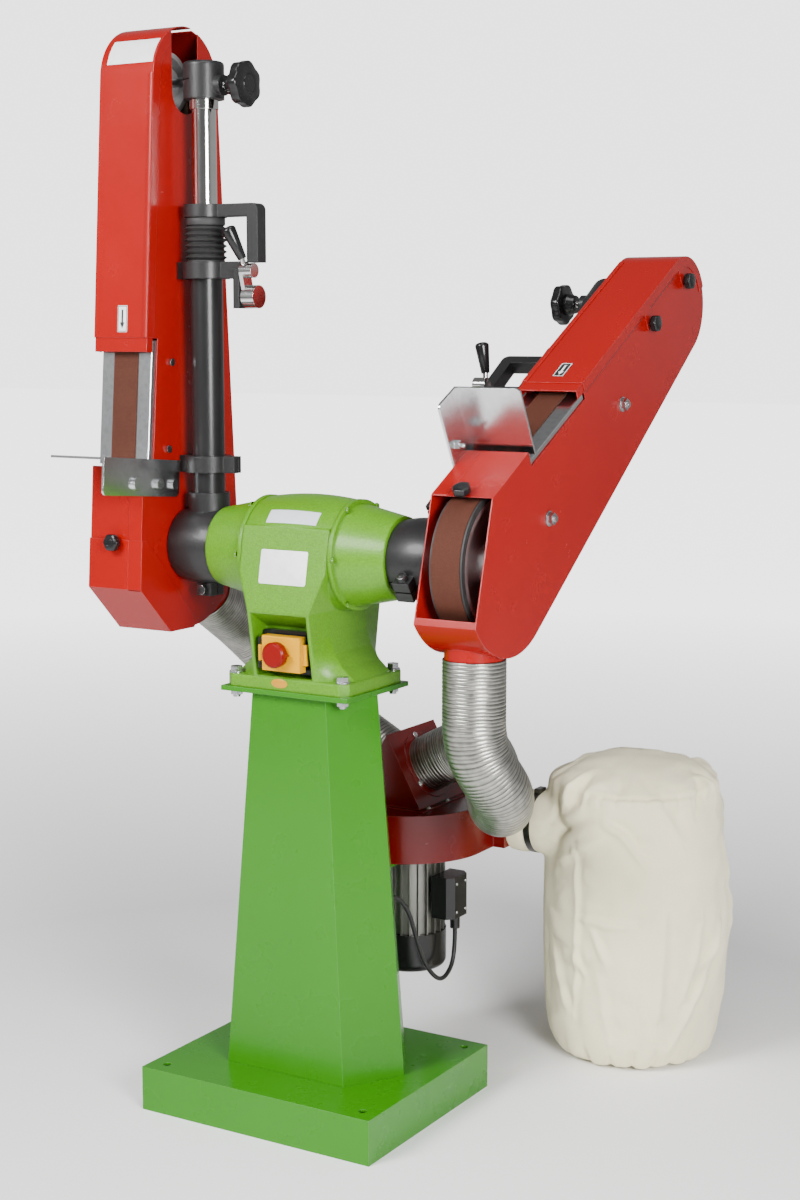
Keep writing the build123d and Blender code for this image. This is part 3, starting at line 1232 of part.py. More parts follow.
def arm_fasteners():
    """Through bolts with washers and nuts, platen bolts, table bolts and the hub's pinch screw."""
    pieces = []
    for u in through_bolt_heights():
        y = -THROUGH_BOLT_V
        start = TUBE_X + sqrt(CLAMP_R ** 2 - THROUGH_BOLT_V ** 2)
        end = OUTER_X + WASHER_T + HEX_T + 4
        bolt = rod((start, y, u), (end, y, u), THROUGH_BOLT_R)
        nut = rod((OUTER_X, y, u), (OUTER_X + WASHER_T, y, u), THROUGH_WASHER_R)
        nut += hexagon_bar((OUTER_X + WASHER_T, y, u), (OUTER_X + WASHER_T + HEX_T, y, u), HEX_R)
        pieces += [bolt, nut - rod((OUTER_X, y, u), (end, y, u), THROUGH_BOLT_R + SEAT_FIT)]
    shank = HOUSING_INNER_X + HOUSING_SHEET + PLATEN_SIDE_GAP + PLATEN_SHEET
    for s in PLATEN_BOLTS_S:
        bolt = rod((HOUSING_INNER_X, -PLATEN_BOLT_N, s), (shank, -PLATEN_BOLT_N, s), TABLE_BOLT_R)
        head_x = HOUSING_INNER_X - PLATE_BOLT_HEAD_T
        bolt += rod((head_x, -PLATEN_BOLT_N, s), (HOUSING_INNER_X, -PLATEN_BOLT_N, s), PLATE_BOLT_HEAD_R)
        pieces.append(along_belt(bolt))
    face = HOUSING_INNER_X - 2 * FACE_GAP - TABLE_SHEET
    inside = HOUSING_INNER_X + HOUSING_SHEET
    for n in TABLE_BOLTS_N:
        seat = face, -n, TABLE_BOLT_S
        bolt = rod(seat, (inside, -n, TABLE_BOLT_S), TABLE_BOLT_R)
        bolt += rod((face - TABLE_BOLT_HEAD_T, -n, TABLE_BOLT_S), seat, TABLE_BOLT_HEAD_R)
        pieces.append(along_belt(bolt))
    front = -HUB_LUG_Y / 2
    screw = rod((TUBE_X, front, -PINCH_DROP), (TUBE_X, -front, -PINCH_DROP), PINCH_SCREW_R)
    screw += rod((TUBE_X, front - PINCH_HEAD_T, -PINCH_DROP), (TUBE_X, front, -PINCH_DROP), PINCH_HEAD_R)
    return group(*pieces, screw)


# Extraction fan

def scroll_outline(inset):
    """Plan of the fan scroll: three quarter turns that grow, and the throat to its outlet."""
    grow = SCROLL_GROWTH
    r1 = SCROLL_START_R - inset
    r2 = r1 + grow
    r3 = r2 + grow
    half = grow / 2
    diagonal = sqrt(0.5)
    right = Vector(-half + r1, -half)
    front = Vector(-half, -half - r1)
    left = Vector(-half - r2, half)
    rear = Vector(half, half + r3)
    mouth_low = rear.Y - SCROLL_THROAT + 2 * inset
    turns = [ThreePointArc(right, (-half + r1 * diagonal, -half - r1 * diagonal), front),
             ThreePointArc(front, (-half - r2 * diagonal, half - r2 * diagonal), left),
             ThreePointArc(left, (half - r3 * diagonal, half + r3 * diagonal), rear)]
    throat = Polyline(rear, (SCROLL_THROAT_X - inset, rear.Y), (SCROLL_THROAT_X - inset, mouth_low),
                      (right.X, mouth_low), right)
    return area(*turns, throat)


def fan_scroll():
    """Sheet scroll with its inlet eye, motor hole and round outlet."""
    outer = extrude(Pos(0, FAN_Y, SCROLL_LOW_Z) * scroll_outline(0), amount=SCROLL_HEIGHT)
    low = SCROLL_LOW_Z + SCROLL_SHEET
    inside = SCROLL_HEIGHT - 2 * SCROLL_SHEET
    room = extrude(Pos(0, FAN_Y, low) * scroll_outline(SCROLL_SHEET), amount=inside)
    outlet_x = SCROLL_THROAT_X - SCROLL_SHEET
    outlet_end = OUTLET_END_X, OUTLET_Y, OUTLET_Z
    outlet = rod((outlet_x, OUTLET_Y, OUTLET_Z), outlet_end, OUTLET_R)
    bore = rod((outlet_x - 1, OUTLET_Y, OUTLET_Z), outlet_end, OUTLET_R - SCROLL_SHEET)
    bore -= block(0, outlet_x, FAN_Y, OUTLET_Y + SCROLL_THROAT, 0, low)
    bore -= block(0, outlet_x, FAN_Y, OUTLET_Y + SCROLL_THROAT, SCROLL_TOP_Z - SCROLL_SHEET, AXIS_Z)
    scroll = outer + outlet - room - bore
    scroll -= rod((0, FAN_Y, OUTLET_Z), (0, FAN_Y, SCROLL_TOP_Z), FAN_EYE_R)
    return scroll - rod((0, FAN_Y, SCROLL_LOW_Z), (0, FAN_Y, OUTLET_Z), IMPELLER_HUB_R + SOFT_GAP)


def collar_seat():
    """Middle of the inlet box's right slope, and the slope's normal."""
    normal = Vector(INLET_RIDGE, 0, INLET_HALF).normalized()
    return Vector(INLET_HALF / 2, FAN_Y, SCROLL_TOP_Z + INLET_RIDGE / 2), normal


def fan_inlet_box():
    """Gabled inlet box on the scroll, with a flange below and a hose collar on each slope."""
    inner_half = INLET_HALF - 2.3 * INLET_SHEET
    y0 = FAN_Y - INLET_LENGTH / 2
    y1 = y0 + INLET_LENGTH
    base_z = SCROLL_TOP_Z
    gable = Polygon((-INLET_HALF, 0), (INLET_HALF, 0), (0, INLET_RIDGE))
    inside = Polygon((-inner_half, 0), (inner_half, 0), (0, INLET_RIDGE * inner_half / INLET_HALF))
    rear = Plane(origin=(0, y1, base_z), x_dir=(1, 0, 0), z_dir=(0, -1, 0))
    box = extrude(rear * gable, amount=INLET_LENGTH)
    wide = INLET_HALF + INLET_FLANGE
    box += block(-wide, wide, y0 - INLET_FLANGE, y1 + INLET_FLANGE, base_z, base_z + INLET_SHEET)
    room = extrude(rear.offset(INLET_SHEET) * inside, amount=INLET_LENGTH - 2 * INLET_SHEET)
    seat, normal = collar_seat()
    collar = rod(seat, seat + normal * COLLAR_RING_T, COLLAR_RING_R)
    collar += rod(seat, seat + normal * COLLAR_REACH, COLLAR_R)
    bore = rod(seat - normal * (4 * INLET_SHEET), seat + normal * COLLAR_REACH, COLLAR_R - COLLAR_WALL)
    box += [collar, mirror(collar, Plane.YZ)]
    return box - room - bore - mirror(bore, Plane.YZ)


def fan_motor():
    """Finned fan motor that hangs under the scroll."""
    top = SCROLL_LOW_Z - FAN_MOTOR_FLANGE_T
    body = rod((0, FAN_Y, FAN_MOTOR_LOW_Z), (0, FAN_Y, SCROLL_LOW_Z), FAN_MOTOR_R)
    body += rod((0, FAN_Y, top), (0, FAN_Y, SCROLL_LOW_Z), FAN_MOTOR_FLANGE_R)
    half = FAN_MOTOR_FIN_T / 2
    fin = block(FAN_MOTOR_R - 1, FAN_MOTOR_FIN_R, -half, half, FAN_MOTOR_LOW_Z, top)
    fins = [Pos(0, FAN_Y, 0) * Rot(Z=360 / FAN_MOTOR_FINS * index) * fin for index in range(FAN_MOTOR_FINS)]
    body += fins
    bore_ends = (0, FAN_Y, SCROLL_LOW_Z - FAN_SHAFT_SINK), (0, FAN_Y, SCROLL_LOW_Z)
    return body - rod(*bore_ends, FAN_SHAFT_R + RUN_FIT)


def gland_place():
    """Middle of the gland's mouth under the terminal box."""
    return Vector(FAN_MOTOR_FIN_R + GLAND_OFFSET_X, FAN_Y, TERMINAL_LOW_Z - GLAND_LENGTH)


def fan_motor_covers():
    """Black covers: fan cowl, terminal box with its gland, and the cable's grommet in the column."""
    cowl = rod((0, FAN_Y, COWL_LOW_Z), (0, FAN_Y, FAN_MOTOR_LOW_Z), COWL_R)
    cowl = fillet(cowl.edges().group_by(Axis.Z)[0], COWL_ROUND)
    x0 = FAN_MOTOR_FIN_R + FACE_GAP
    outline = Rectangle(TERMINAL_REACH, TERMINAL_Y)
    outline = chamfer(outline.vertices().group_by(Axis.X)[-1], TERMINAL_CORNER)
    height = TERMINAL_HIGH_Z - TERMINAL_LOW_Z
    box = extrude(Pos(x0 + TERMINAL_REACH / 2, FAN_Y, TERMINAL_LOW_Z) * outline, amount=height)
    mouth = gland_place()
    box += rod(mouth, mouth + Vector(0, 0, GLAND_LENGTH), GLAND_R)
    grommet_start = GROMMET_X, GROMMET_START_Y, GROMMET_Z
    grommet = rod(grommet_start, (GROMMET_X, GROMMET_END_Y, GROMMET_Z), GROMMET_R)
    return group(cowl, box, grommet)


def cable_route():
    """Route of the fan cable from the gland's mouth to the grommet, chosen by hand."""
    mouth = gland_place()
    end = Vector(GROMMET_X, GROMMET_END_Y, GROMMET_Z)
    down = [mouth + Vector(*step) for step in CABLE_FROM_MOUTH]
    back = [end + Vector(*step) for step in CABLE_TO_GROMMET]
    return [mouth, *down, *back, end]


def fan_cable():
    """Cable along straight runs joined by arcs as large as the runs allow."""
    route = cable_route()
    runs = [b - a for a, b in zip(route, route[1:])]
    radii = []
    for before, after in zip(runs, runs[1:]):
        half_turn = radians(before.get_angle(after)) / 2
        radii.append(0.45 * min(before.length, after.length) * cos(half_turn) / sin(half_turn))
    print("cable radii", [round(radius) for radius in radii])
    path = FilletPolyline(*route, radius=radii)
    tube = sweep(Plane(origin=route[0], z_dir=runs[0]) * Circle(CABLE_R), path=path)
    section = Circle(CABLE_R)
    print("cable volume over section times length", round(tube.volume / (path.length * section.area), 4))
    return tube


def fan_impeller():
    """Impeller: back plate, leaned blades and a hub on the motor's shaft."""
    low = SCROLL_LOW_Z + SCROLL_SHEET + IMPELLER_LIFT
    wheel = rod((0, 0, low), (0, 0, low + IMPELLER_PLATE_T), IMPELLER_R)
    wheel += rod((0, 0, low), (0, 0, low + IMPELLER_HEIGHT / 2), IMPELLER_HUB_R)
    blade = block(0, IMPELLER_R - IMPELLER_HUB_R - 8, -IMPELLER_BLADE_T / 2, IMPELLER_BLADE_T / 2,
                  low, low + IMPELLER_HEIGHT)
    blade = Pos(IMPELLER_HUB_R - 2, 0, 0) * Rot(Z=-IMPELLER_BLADE_LEAN) * blade
    wheel += [Rot(Z=360 / IMPELLER_BLADES * index) * blade for index in range(IMPELLER_BLADES)]
    wheel += rod((0, 0, SCROLL_LOW_Z - FAN_SHAFT_SINK + 1), (0, 0, low), FAN_SHAFT_R)
    return Pos(0, FAN_Y, 0) * wheel


def bag_body(inset):
    """Bag's round body with a gathered hollow round its neck, drawn in by inset."""
    top = BAG_LOW_Z + BAG_HEIGHT - inset
    body = rod((BAG_X, BAG_Y, BAG_LOW_Z + inset), (BAG_X, BAG_Y, top), BAG_R - inset)
    body = fillet(body.edges().filter_by(GeomType.CIRCLE), BAG_ROUND - inset)
    gather = (BAG_NECK_X, OUTLET_Y, OUTLET_Z), (BAND_X + BAND_SCREW + inset, OUTLET_Y, OUTLET_Z)
    return body - rod(*gather, BAG_NECK_R + BAND_SCREW + inset)


def dust_bag():
    """Hollow cloth bag that stands on the floor, with a neck over the fan's outlet."""
    start = BAG_NECK_X, OUTLET_Y, OUTLET_Z
    neck = rod(start, (BAND_X + BAND_SCREW, OUTLET_Y, OUTLET_Z), BAG_NECK_R)
    bag = bag_body(0) - bag_body(BAG_WALL) + neck
    return bag - rod(start, (OUTLET_END_X + 1, OUTLET_Y, OUTLET_Z), OUTLET_R + SOFT_GAP)


def bag_clamp():
    """Steel band with its screw housing, round the bag's neck."""
    inner = BAG_NECK_R + SOFT_GAP
    ends = (BAND_X - BAND_WIDTH, OUTLET_Y, OUTLET_Z), (BAND_X, OUTLET_Y, OUTLET_Z)
    band = rod(*ends, inner + BAND_T)
    top = OUTLET_Z + inner
    y0 = OUTLET_Y - BAND_SCREW
    band += block(BAND_X - BAND_WIDTH, BAND_X, y0, y0 + 2 * BAND_SCREW, top, top + BAND_WORM)
    return band - rod(*ends, inner)


# Hoses

def hose(start, way_out, end, way_in, lead, tail, pulls, ribs):
    """Ribbed hose: straight at both ends, with one bend between them that pulls from each end may shape."""
    first = start + way_out * HOSE_STRAIGHT
    last = end + way_in * HOSE_STRAIGHT
    pulled = [near + Vector(*pull) for near, pull in zip((first, last), pulls)]
    bend = Bezier(first, first + way_out * lead, *pulled, last + way_in * tail, last)
    path = Wire([Line(start, first).edge(), bend.edge(), Line(last, end).edge()])
    steady = Vector(1, 1, 1)

    def ring(share, radius):
        place = path.position_at(share)
        plane = Plane(origin=place, x_dir=steady, z_dir=path.tangent_at(share))
        return plane * Circle(radius)

    profile = ((0.0, HOSE_VALLEY_R), (0.25, HOSE_CREST_R), (0.5, HOSE_CREST_R), (0.75, HOSE_VALLEY_R))
    rings = [ring((rib + share) / ribs, radius) for rib in range(ribs) for share, radius in profile]
    bores = [ring(rib / ribs, HOSE_BORE_R) for rib in range(ribs + 1)]
    print("hose length", round(path.length))
    return loft([*rings, ring(1, HOSE_VALLEY_R)], ruled=True) - loft(bores, ruled=True)


def arm_port(lean):
    """Start and way of the hose on a right-hand arm that leans back."""
    start, out = port_points()
    begin = (start + out * HOSE_START).rotate(Axis.X, -lean) + Vector(0, 0, AXIS_Z)
    return begin, out.rotate(Axis.X, -lean)


def other_side(point):
    """Mirror image of a point or way."""
    return Vector(-point.X, point.Y, point.Z)


def right_hose():
    """Hose from the right arm, hanging in a loop to the inlet box's right slope."""
    start, way = arm_port(RIGHT_LEAN)
    seat, normal = collar_seat()
    end = seat + normal * (COLLAR_RING_T + SOFT_GAP)
    pulls = RIGHT_HOSE_FIRST_PULL, RIGHT_HOSE_LAST_PULL
    return hose(start, way, end, normal, RIGHT_HOSE_LEAD, RIGHT_HOSE_TAIL, pulls, RIGHT_HOSE_RIBS)


def left_hose():
    """Hose from the left arm to the inlet box's left slope."""
    start, way = arm_port(LEFT_LEAN)
    seat, normal = collar_seat()
    end = seat + normal * (COLLAR_RING_T + SOFT_GAP)
    ends = other_side(start), other_side(way), other_side(end), other_side(normal)
    return hose(*ends, LEFT_HOSE_LEAD, LEFT_HOSE_TAIL, (), LEFT_HOSE_RIBS)


# Placing and writing the pieces

def on_right(shape):
    """Place an upright arm piece on the right arm."""
    return Pos(0, 0, AXIS_Z) * Rot(X=-RIGHT_LEAN) * shape


def on_left(shape):
    """Place an upright arm piece on the left arm."""
    return Pos(0, 0, AXIS_Z) * Rot(X=-LEFT_LEAN) * mirror(shape, Plane.YZ)


def at_axis(shape):
    """Lift a piece drawn about the spindle to its height."""
    return Pos(0, 0, AXIS_Z) * shape


def both_ends(shape):
    """A right-hand piece and its mirror image, lifted to the spindle's height."""
    return at_axis(group(shape, mirror(shape, Plane.YZ)))


def stand_pieces():
    """Named pieces of the stand, motor, spindle and extraction."""
    return {
        "base_tray": base_tray(),
        "column": column(),
        "column_top_plate": column_top_plate(),
        "motor_frame": at_axis(motor_frame()),
        "motor_end_bells": both_ends(end_bell()),
        "motor_stator": at_axis(stator()),
        "motor_bearings": both_ends(bearing()),
        "stand_fasteners": at_axis(stand_fasteners()),
        "rotor_shaft": at_axis(rotor_shaft()),
        "contact_wheels": both_ends(contact_wheel()),
        "wheel_tyres": both_ends(wheel_tyre()),
        "switch_base": at_axis(switch_base()),
        "switch_lid": at_axis(switch_lid()),
        "stop_knob": at_axis(stop_knob()),
        "start_button": at_axis(start_button()),
        "fan_scroll": fan_scroll(),
        "fan_inlet_box": fan_inlet_box(),
        "fan_motor": fan_motor(),
        "fan_motor_covers": fan_motor_covers(),
        "fan_cable": fan_cable(),
        "fan_impeller": fan_impeller(),
        "dust_bag": dust_bag(),
        "bag_clamp": bag_clamp(),
        "left_hose": left_hose(),
        "right_hose": right_hose(),
    }


def arm_pieces():
    """Named pieces that both arms have alike."""
    return {
        "pivot_hub": pivot_hub(),
        "support_tube": support_tube(),
        "tube_clamps": tube_clamps(),
        "belt_housing": belt_housing(),
        "front_cover": front_cover(),
        "platen": platen(),
        "work_table": work_table(),
        "abrasive_belt": abrasive_belt(),
        "slide_tube": slide_tube(),
        "slide_castings": slide_castings(),
        "bellows": bellows(),
        "idler_wheel": idler_wheel(),
        "idler_axle": idler_axle(),
        "tracking_knob": tracking_knob(),
        "arm_fasteners": arm_fasteners(),
    }


def all_pieces():
    """Every piece of the machine, in its place."""
    pieces = stand_pieces()
    for name, shape in arm_pieces().items():
        pieces["left_" + name] = on_left(shape)
        pieces["right_" + name] = on_right(shape)
    pieces["left_wheel_cover"] = on_left(wheel_cover())
    pieces["left_clamp_knobs"] = on_left(clamp_knobs(COVER_SHEET))
    pieces["right_clamp_knobs"] = on_right(clamp_knobs(0))
    pieces["left_tension_lever"] = on_left(tension_lever(LEFT_LEVER_LEAN, LEFT_GRIP_SHIFT))
    pieces["right_tension_lever"] = on_right(tension_lever(RIGHT_LEVER_LEAN, RIGHT_GRIP_SHIFT))
    return pieces


os.makedirs("parts", exist_ok=True)
for name, shape in all_pieces().items():
    export_step(shape, f"parts/{name}.step")
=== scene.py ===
import json
from math import asin, atan2, cos, exp, hypot, pi, radians, remainder, sin, tau

import bmesh
import bpy
from mathutils import Matrix, Vector, noise


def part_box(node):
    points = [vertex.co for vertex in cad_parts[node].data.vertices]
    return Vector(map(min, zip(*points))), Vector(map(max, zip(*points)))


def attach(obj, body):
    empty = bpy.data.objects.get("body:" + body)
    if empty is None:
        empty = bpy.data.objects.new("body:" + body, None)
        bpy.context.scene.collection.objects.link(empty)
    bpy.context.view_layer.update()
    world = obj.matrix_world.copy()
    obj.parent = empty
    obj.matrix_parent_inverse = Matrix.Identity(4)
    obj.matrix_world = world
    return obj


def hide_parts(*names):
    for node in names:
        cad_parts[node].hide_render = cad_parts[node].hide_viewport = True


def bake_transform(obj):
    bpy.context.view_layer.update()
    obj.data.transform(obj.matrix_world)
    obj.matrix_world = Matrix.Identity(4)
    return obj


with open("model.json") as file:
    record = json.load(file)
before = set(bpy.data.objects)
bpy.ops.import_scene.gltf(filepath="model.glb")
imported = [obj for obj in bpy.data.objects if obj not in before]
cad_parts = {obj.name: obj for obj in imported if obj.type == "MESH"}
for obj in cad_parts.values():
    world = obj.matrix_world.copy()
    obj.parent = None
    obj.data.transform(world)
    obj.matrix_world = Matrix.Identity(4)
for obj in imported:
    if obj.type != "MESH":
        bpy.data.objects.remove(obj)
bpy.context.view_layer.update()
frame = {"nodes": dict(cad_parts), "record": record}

bl_info = {
    "name": "Double belt sander",
    "version": (1, 0, 0),
    "blender": (4, 5, 0),
    "location": "3D View > Sidebar > Belt sander",
    "description": "Finishes, hoses, dust bag and small parts of a double belt sander on its stand",
    "category": "Object",
}

# Places that the solids give, in metres; on an arm, u runs from the spindle to the idler
AXIS_Z = 0.942
BELT_X = 0.3145
TUBE_X = 0.214
OUTER_X = 0.369
IDLER_U = 0.771
LEVER_PIVOT_U = 0.417
TRACKING_SEAT = (0.147, 0.0, 0.761)
RIGHT_LEAN = radians(57.5)
FRONT_LOW = Vector((0.126713, 0.008528))
FRONT_TOP = Vector((0.074804, 0.779842))
FAN_Y = 0.31
COLLAR_SEAT = Vector((0.035, FAN_Y, 0.5285))
COLLAR_WAY = Vector((0.87894, 0.0, 0.47694))
BAG_X = 0.356
BAG_Y = 0.505
NECK_Y = 0.42
NECK_Z = 0.421
SIDES = ("left", "right")

WHITE = (1.0, 1.0, 1.0, 1.0)
EVEN = (1.0, 1.0, 1.0)


# Settings

def colour_setting(name, description, default):
    """Colour that a user may change."""
    return bpy.props.FloatVectorProperty(
        name=name, description=description, default=default, subtype="COLOR", size=3, min=0.0, max=1.0)


def length_setting(name, description, default):
    """Length that a user may change."""
    return bpy.props.FloatProperty(
        name=name, description=description, default=default, unit="LENGTH", min=0.0, precision=5)


class SanderColours(bpy.types.PropertyGroup):
    """Colours of the machine's finishes."""

    green_sheet: colour_setting("Stand green", "Powder coat of the base and column", (0.026, 0.172, 0.003))
    green_casting: colour_setting("Motor green", "Paint of the motor castings", (0.078, 0.228, 0.005))
    # The fan takes this red darkened, as painted shade
    red_sheet: colour_setting("Housing red", "Paint of the belt housings and the fan", (0.27, 0.0025, 0.0012))
    black_casting: colour_setting("Casting black", "Paint of the black castings", (0.012, 0.012, 0.0125))
    black_plastic: colour_setting("Knob black", "Plastic of the knobs and covers", (0.008, 0.008, 0.0085))
    yellow_plastic: colour_setting("Lid yellow", "Plastic of the switch lid", (0.58, 0.27, 0.0))
    red_plastic: colour_setting("Stop red", "Plastic of the stop knob", (0.17, 0.002, 0.001))
    green_plastic: colour_setting("Start green", "Plastic of the start button", (0.03, 0.32, 0.06))
    abrasive: colour_setting("Grit brown", "Abrasive side of the belts", (0.056, 0.0165, 0.009))
    cloth: colour_setting("Bag cloth", "Cotton of the dust bag", (0.96, 0.88, 0.6))
    plate: colour_setting("Plate white", "Bare plates on the motor and covers", (0.8, 0.81, 0.8))
    sticker: colour_setting("Sticker yellow", "Plain sticker on the motor's foot", (0.5, 0.23, 0.0))


class SanderSoftParts(bpy.types.PropertyGroup):
    """Sizes of the hoses, bellows and dust bag."""

    rib_pitch: length_setting("Rib pitch", "Distance between two ribs of a hose", 0.006)
    rib_height: length_setting("Rib height", "Height of a hose rib", 0.0016)
    hose_radius: length_setting("Hose radius", "Radius at the foot of the ribs", 0.0494)
    pleat_height: length_setting("Pleat height", "Height of a bellows pleat", 0.0065)
    cloth_voxel: length_setting("Cloth mesh", "Mesh size of the dust bag before it is simulated", 0.0062)
    cloth_move: length_setting("Cloth travel", "Furthest that the simulation may move the cloth", 0.007)
    hem_height: length_setting("Seam height", "Height of the bag's sewn seam", 0.0022)


class SanderSmallParts(bpy.types.PropertyGroup):
    """Sizes of screws, plates and knobs."""

    screw_radius: length_setting("Screw head radius", "Radius of the small cap screws", 0.0042)
    screw_height: length_setting("Screw head height", "Height of the small cap screws", 0.0032)
    plate_thickness: length_setting("Plate thickness", "Thickness of the bare plates", 0.0006)
    rim_width: length_setting("Rim width", "Width of the raised rim along a front cover", 0.0085)
    rim_height: length_setting("Rim height", "Height of the raised rim along a front cover", 0.0028)
    knob_hollow: bpy.props.FloatProperty(
        name="Knob hollow", description="Depth of the hollows between a knob's lobes, as a share of its radius",
        default=0.045, min=0.0, max=0.4, subtype="FACTOR")


class SanderStage(bpy.types.PropertyGroup):
    """Floor, light and camera."""

    floor_colour: colour_setting("Floor", "Colour of the floor", (0.92, 0.92, 0.92))
    floor_size: length_setting("Floor size", "Width of the floor", 60.0)
    backdrop: bpy.props.FloatProperty(
        name="Backdrop", description="Brightness of the far floor and the background", default=2.8, min=0.0)
    key_power: bpy.props.FloatProperty(
        name="Key light", description="Power of the large light at the front", default=300.0, min=0.0, unit="POWER")
    fill_power: bpy.props.FloatProperty(
        name="Fill light", description="Power of the light at the side", default=190.0, min=0.0, unit="POWER")
    top_power: bpy.props.FloatProperty(
        name="Top light", description="Power of the light overhead", default=50.0, min=0.0, unit="POWER")
    sky_strength: bpy.props.FloatProperty(
        name="Sky", description="Strength of the light from all round", default=0.5, min=0.0)
    lens: bpy.props.FloatProperty(
        name="Lens", description="Focal length of the camera in millimetres", default=59.13, min=10.0,
        unit="CAMERA")


# Nodes and finishes

class Nodes:
    """A node tree, with short ways to add nodes and link them."""

    def __init__(self, tree):
        self.tree = tree

    def supply(self, socket, source):
        """Link a socket to a node's output, or fix its value."""
        if isinstance(source, bpy.types.NodeSocket):
            self.tree.links.new(source, socket)
        else:
            socket.default_value = source

    def add(self, kind, feeds=(), **settings):
        """Node with its settings, and its inputs by name or number."""
        node = self.tree.nodes.new(kind)
        for key, value in settings.items():
            setattr(node, key, value)
        for socket, source in dict(feeds).items():
            self.supply(node.inputs[socket], source)
        return node

    def math(self, operation, first, second=0.0):
        """One sum on sockets or numbers."""
        return self.add("ShaderNodeMath", {0: first, 1: second}, operation=operation).outputs[0]


def shade(colour, factor):
    """Colour made lighter or darker."""
    return tuple(min(1.0, part * factor) for part in colour)


class Finish(Nodes):
    """A material under construction."""

    def __init__(self, name):
        self.material = bpy.data.materials.new(name)
        self.material.use_nodes = True
        super().__init__(self.material.node_tree)
        self.place = self.add("ShaderNodeTexCoord").outputs["Object"]

    def close(self, sockets):
        """Link or fix the shader's sockets, and return the material."""
        for name, source in sockets.items():
            self.supply(self.tree.nodes["Principled BSDF"].inputs[name], source)
        return self.material

    def attribute(self, name):
        """Vector that is stored on the mesh."""
        return self.add("ShaderNodeAttribute", attribute_name=name).outputs["Vector"]

    def mapped(self, scale):
        """Coordinates stretched by a scale, to draw a pattern out."""
        return self.add("ShaderNodeMapping", {"Scale": scale, "Vector": self.place}).outputs["Vector"]

    def noise(self, scale, detail=2.0, place=None):
        """Cloudy noise from 0 to 1."""
        feeds = {"Scale": scale, "Detail": detail, "Vector": place or self.place}
        return self.add("ShaderNodeTexNoise", feeds).outputs[0]

    def cells(self, scale):
        """Distance to the nearest of many scattered points."""
        return self.add("ShaderNodeTexVoronoi", {"Scale": scale, "Vector": self.place}).outputs["Distance"]

    def spread(self, value, low, high, from_low=0.0, from_high=1.0):
        """Value led from one range to another."""
        feeds = {0: value, 1: from_low, 2: from_high, 3: low, 4: high}
        return self.add("ShaderNodeMapRange", feeds).outputs[0]

    def ramp(self, value, stops):
        """Colours along a value."""
        node = self.add("ShaderNodeValToRGB", {0: value})
        elements = node.color_ramp.elements
        for element, (position, colour) in zip(elements, (stops[0], stops[-1])):
            element.position, element.color = position, (*colour, 1)
        for position, colour in stops[1:-1]:
            elements.new(position).color = (*colour, 1)
        return node.outputs[0]

    def tones(self, value, colour, dark, light, low=0.3, high=0.7):
        """One colour, from a darker to a lighter shade along a value."""
        return self.ramp(value, [(low, shade(colour, dark)), (high, shade(colour, light))])

    def mixed(self, share, first, second):
        """Colour mixed with a plain one."""
        return self.add("ShaderNodeMix", {0: share, 6: first, 7: (*second, 1)}, data_type="RGBA").outputs[2]

    def bump(self, height, distance, normal=None):
        """Relief of the given depth in metres."""
        node = self.add("ShaderNodeBump", {"Distance": distance, "Height": height})
        if normal:
            self.supply(node.inputs["Normal"], normal)
        return node.outputs["Normal"]

    def soft_edges(self, radius):
        """Normal that rounds sharp edges off."""
        return self.add("ShaderNodeBevel", {"Radius": radius}, samples=4).outputs["Normal"]

    def edge_mask(self, rounded):
        """Value near 1 along edges, from a rounded normal."""
        flat = self.add("ShaderNodeNewGeometry").outputs["True Normal"]
        slant = self.add("ShaderNodeVectorMath", {0: rounded, 1: flat}, operation="DOT_PRODUCT")
        return self.spread(slant.outputs["Value"], 0.0, 1.0, 0.995, 0.9)

    def split(self, place=None):
        """X, Y and Z of coordinates."""
        return self.add("ShaderNodeSeparateXYZ", {0: place or self.place}).outputs

    def reach(self, first, second):
        """Length of the hypotenuse over two values."""
        squares = [self.math("MULTIPLY", value, value) for value in (first, second)]
        return self.math("SQRT", self.math("ADD", *squares))

    def wave(self, value, rate):
        """Sine of a value at a rate."""
        return self.math("SINE", self.math("MULTIPLY", value, rate))


def sheet_paint(name, colour, roughness):
    """Smooth paint on sheet metal: rounded edges made slightly paler as a painted highlight, a varied tone and gloss.
    """
    finish = Finish(name)
    rounded = finish.soft_edges(0.0018)
    tone = finish.tones(finish.noise(2.2, 3), colour, 0.9, 1.08, 0.25, 0.75)
    # Paler patches along the edges: painted highlight
    edge_highlight = finish.math("MULTIPLY", finish.edge_mask(rounded), finish.spread(finish.noise(60), 0.2, 0.7))
    return finish.close({
        "Base Color": finish.mixed(edge_highlight, tone, tuple(part * 1.5 + 0.07 for part in colour)),
        "Roughness": finish.spread(finish.noise(18, 4), roughness - 0.06, roughness + 0.07),
        "Normal": rounded, "Specular IOR Level": 0.3, "Coat Weight": 0.06, "Coat Roughness": 0.06})


def cast_paint(name, colour, roughness, grain, edge):
    """Thick paint over a sand casting: a lumpy skin, rounded edges made paler as a painted highlight, and a varied
    tone.
    """
    finish = Finish(name)
    rounded = finish.soft_edges(edge)
    stops = [(0.3, shade(colour, 0.84)), (0.5, colour), (0.72, shade(colour, 1.18))]
    tone = finish.ramp(finish.noise(300, 3), stops)
    # Paler patches along the edges: painted highlight
    edge_highlight = finish.math("MULTIPLY", finish.edge_mask(rounded), finish.spread(finish.noise(40), 0.05, 0.4))
    return finish.close({
        "Base Color": finish.mixed(edge_highlight, tone, shade(colour, 1.4)),
        "Roughness": finish.spread(finish.noise(90, 3), roughness - 0.08, roughness + 0.08),
        "Normal": finish.bump(finish.noise(330, 4), grain, rounded),
        "Specular IOR Level": 0.35, "Coat Weight": 0.1, "Coat Roughness": 0.15})


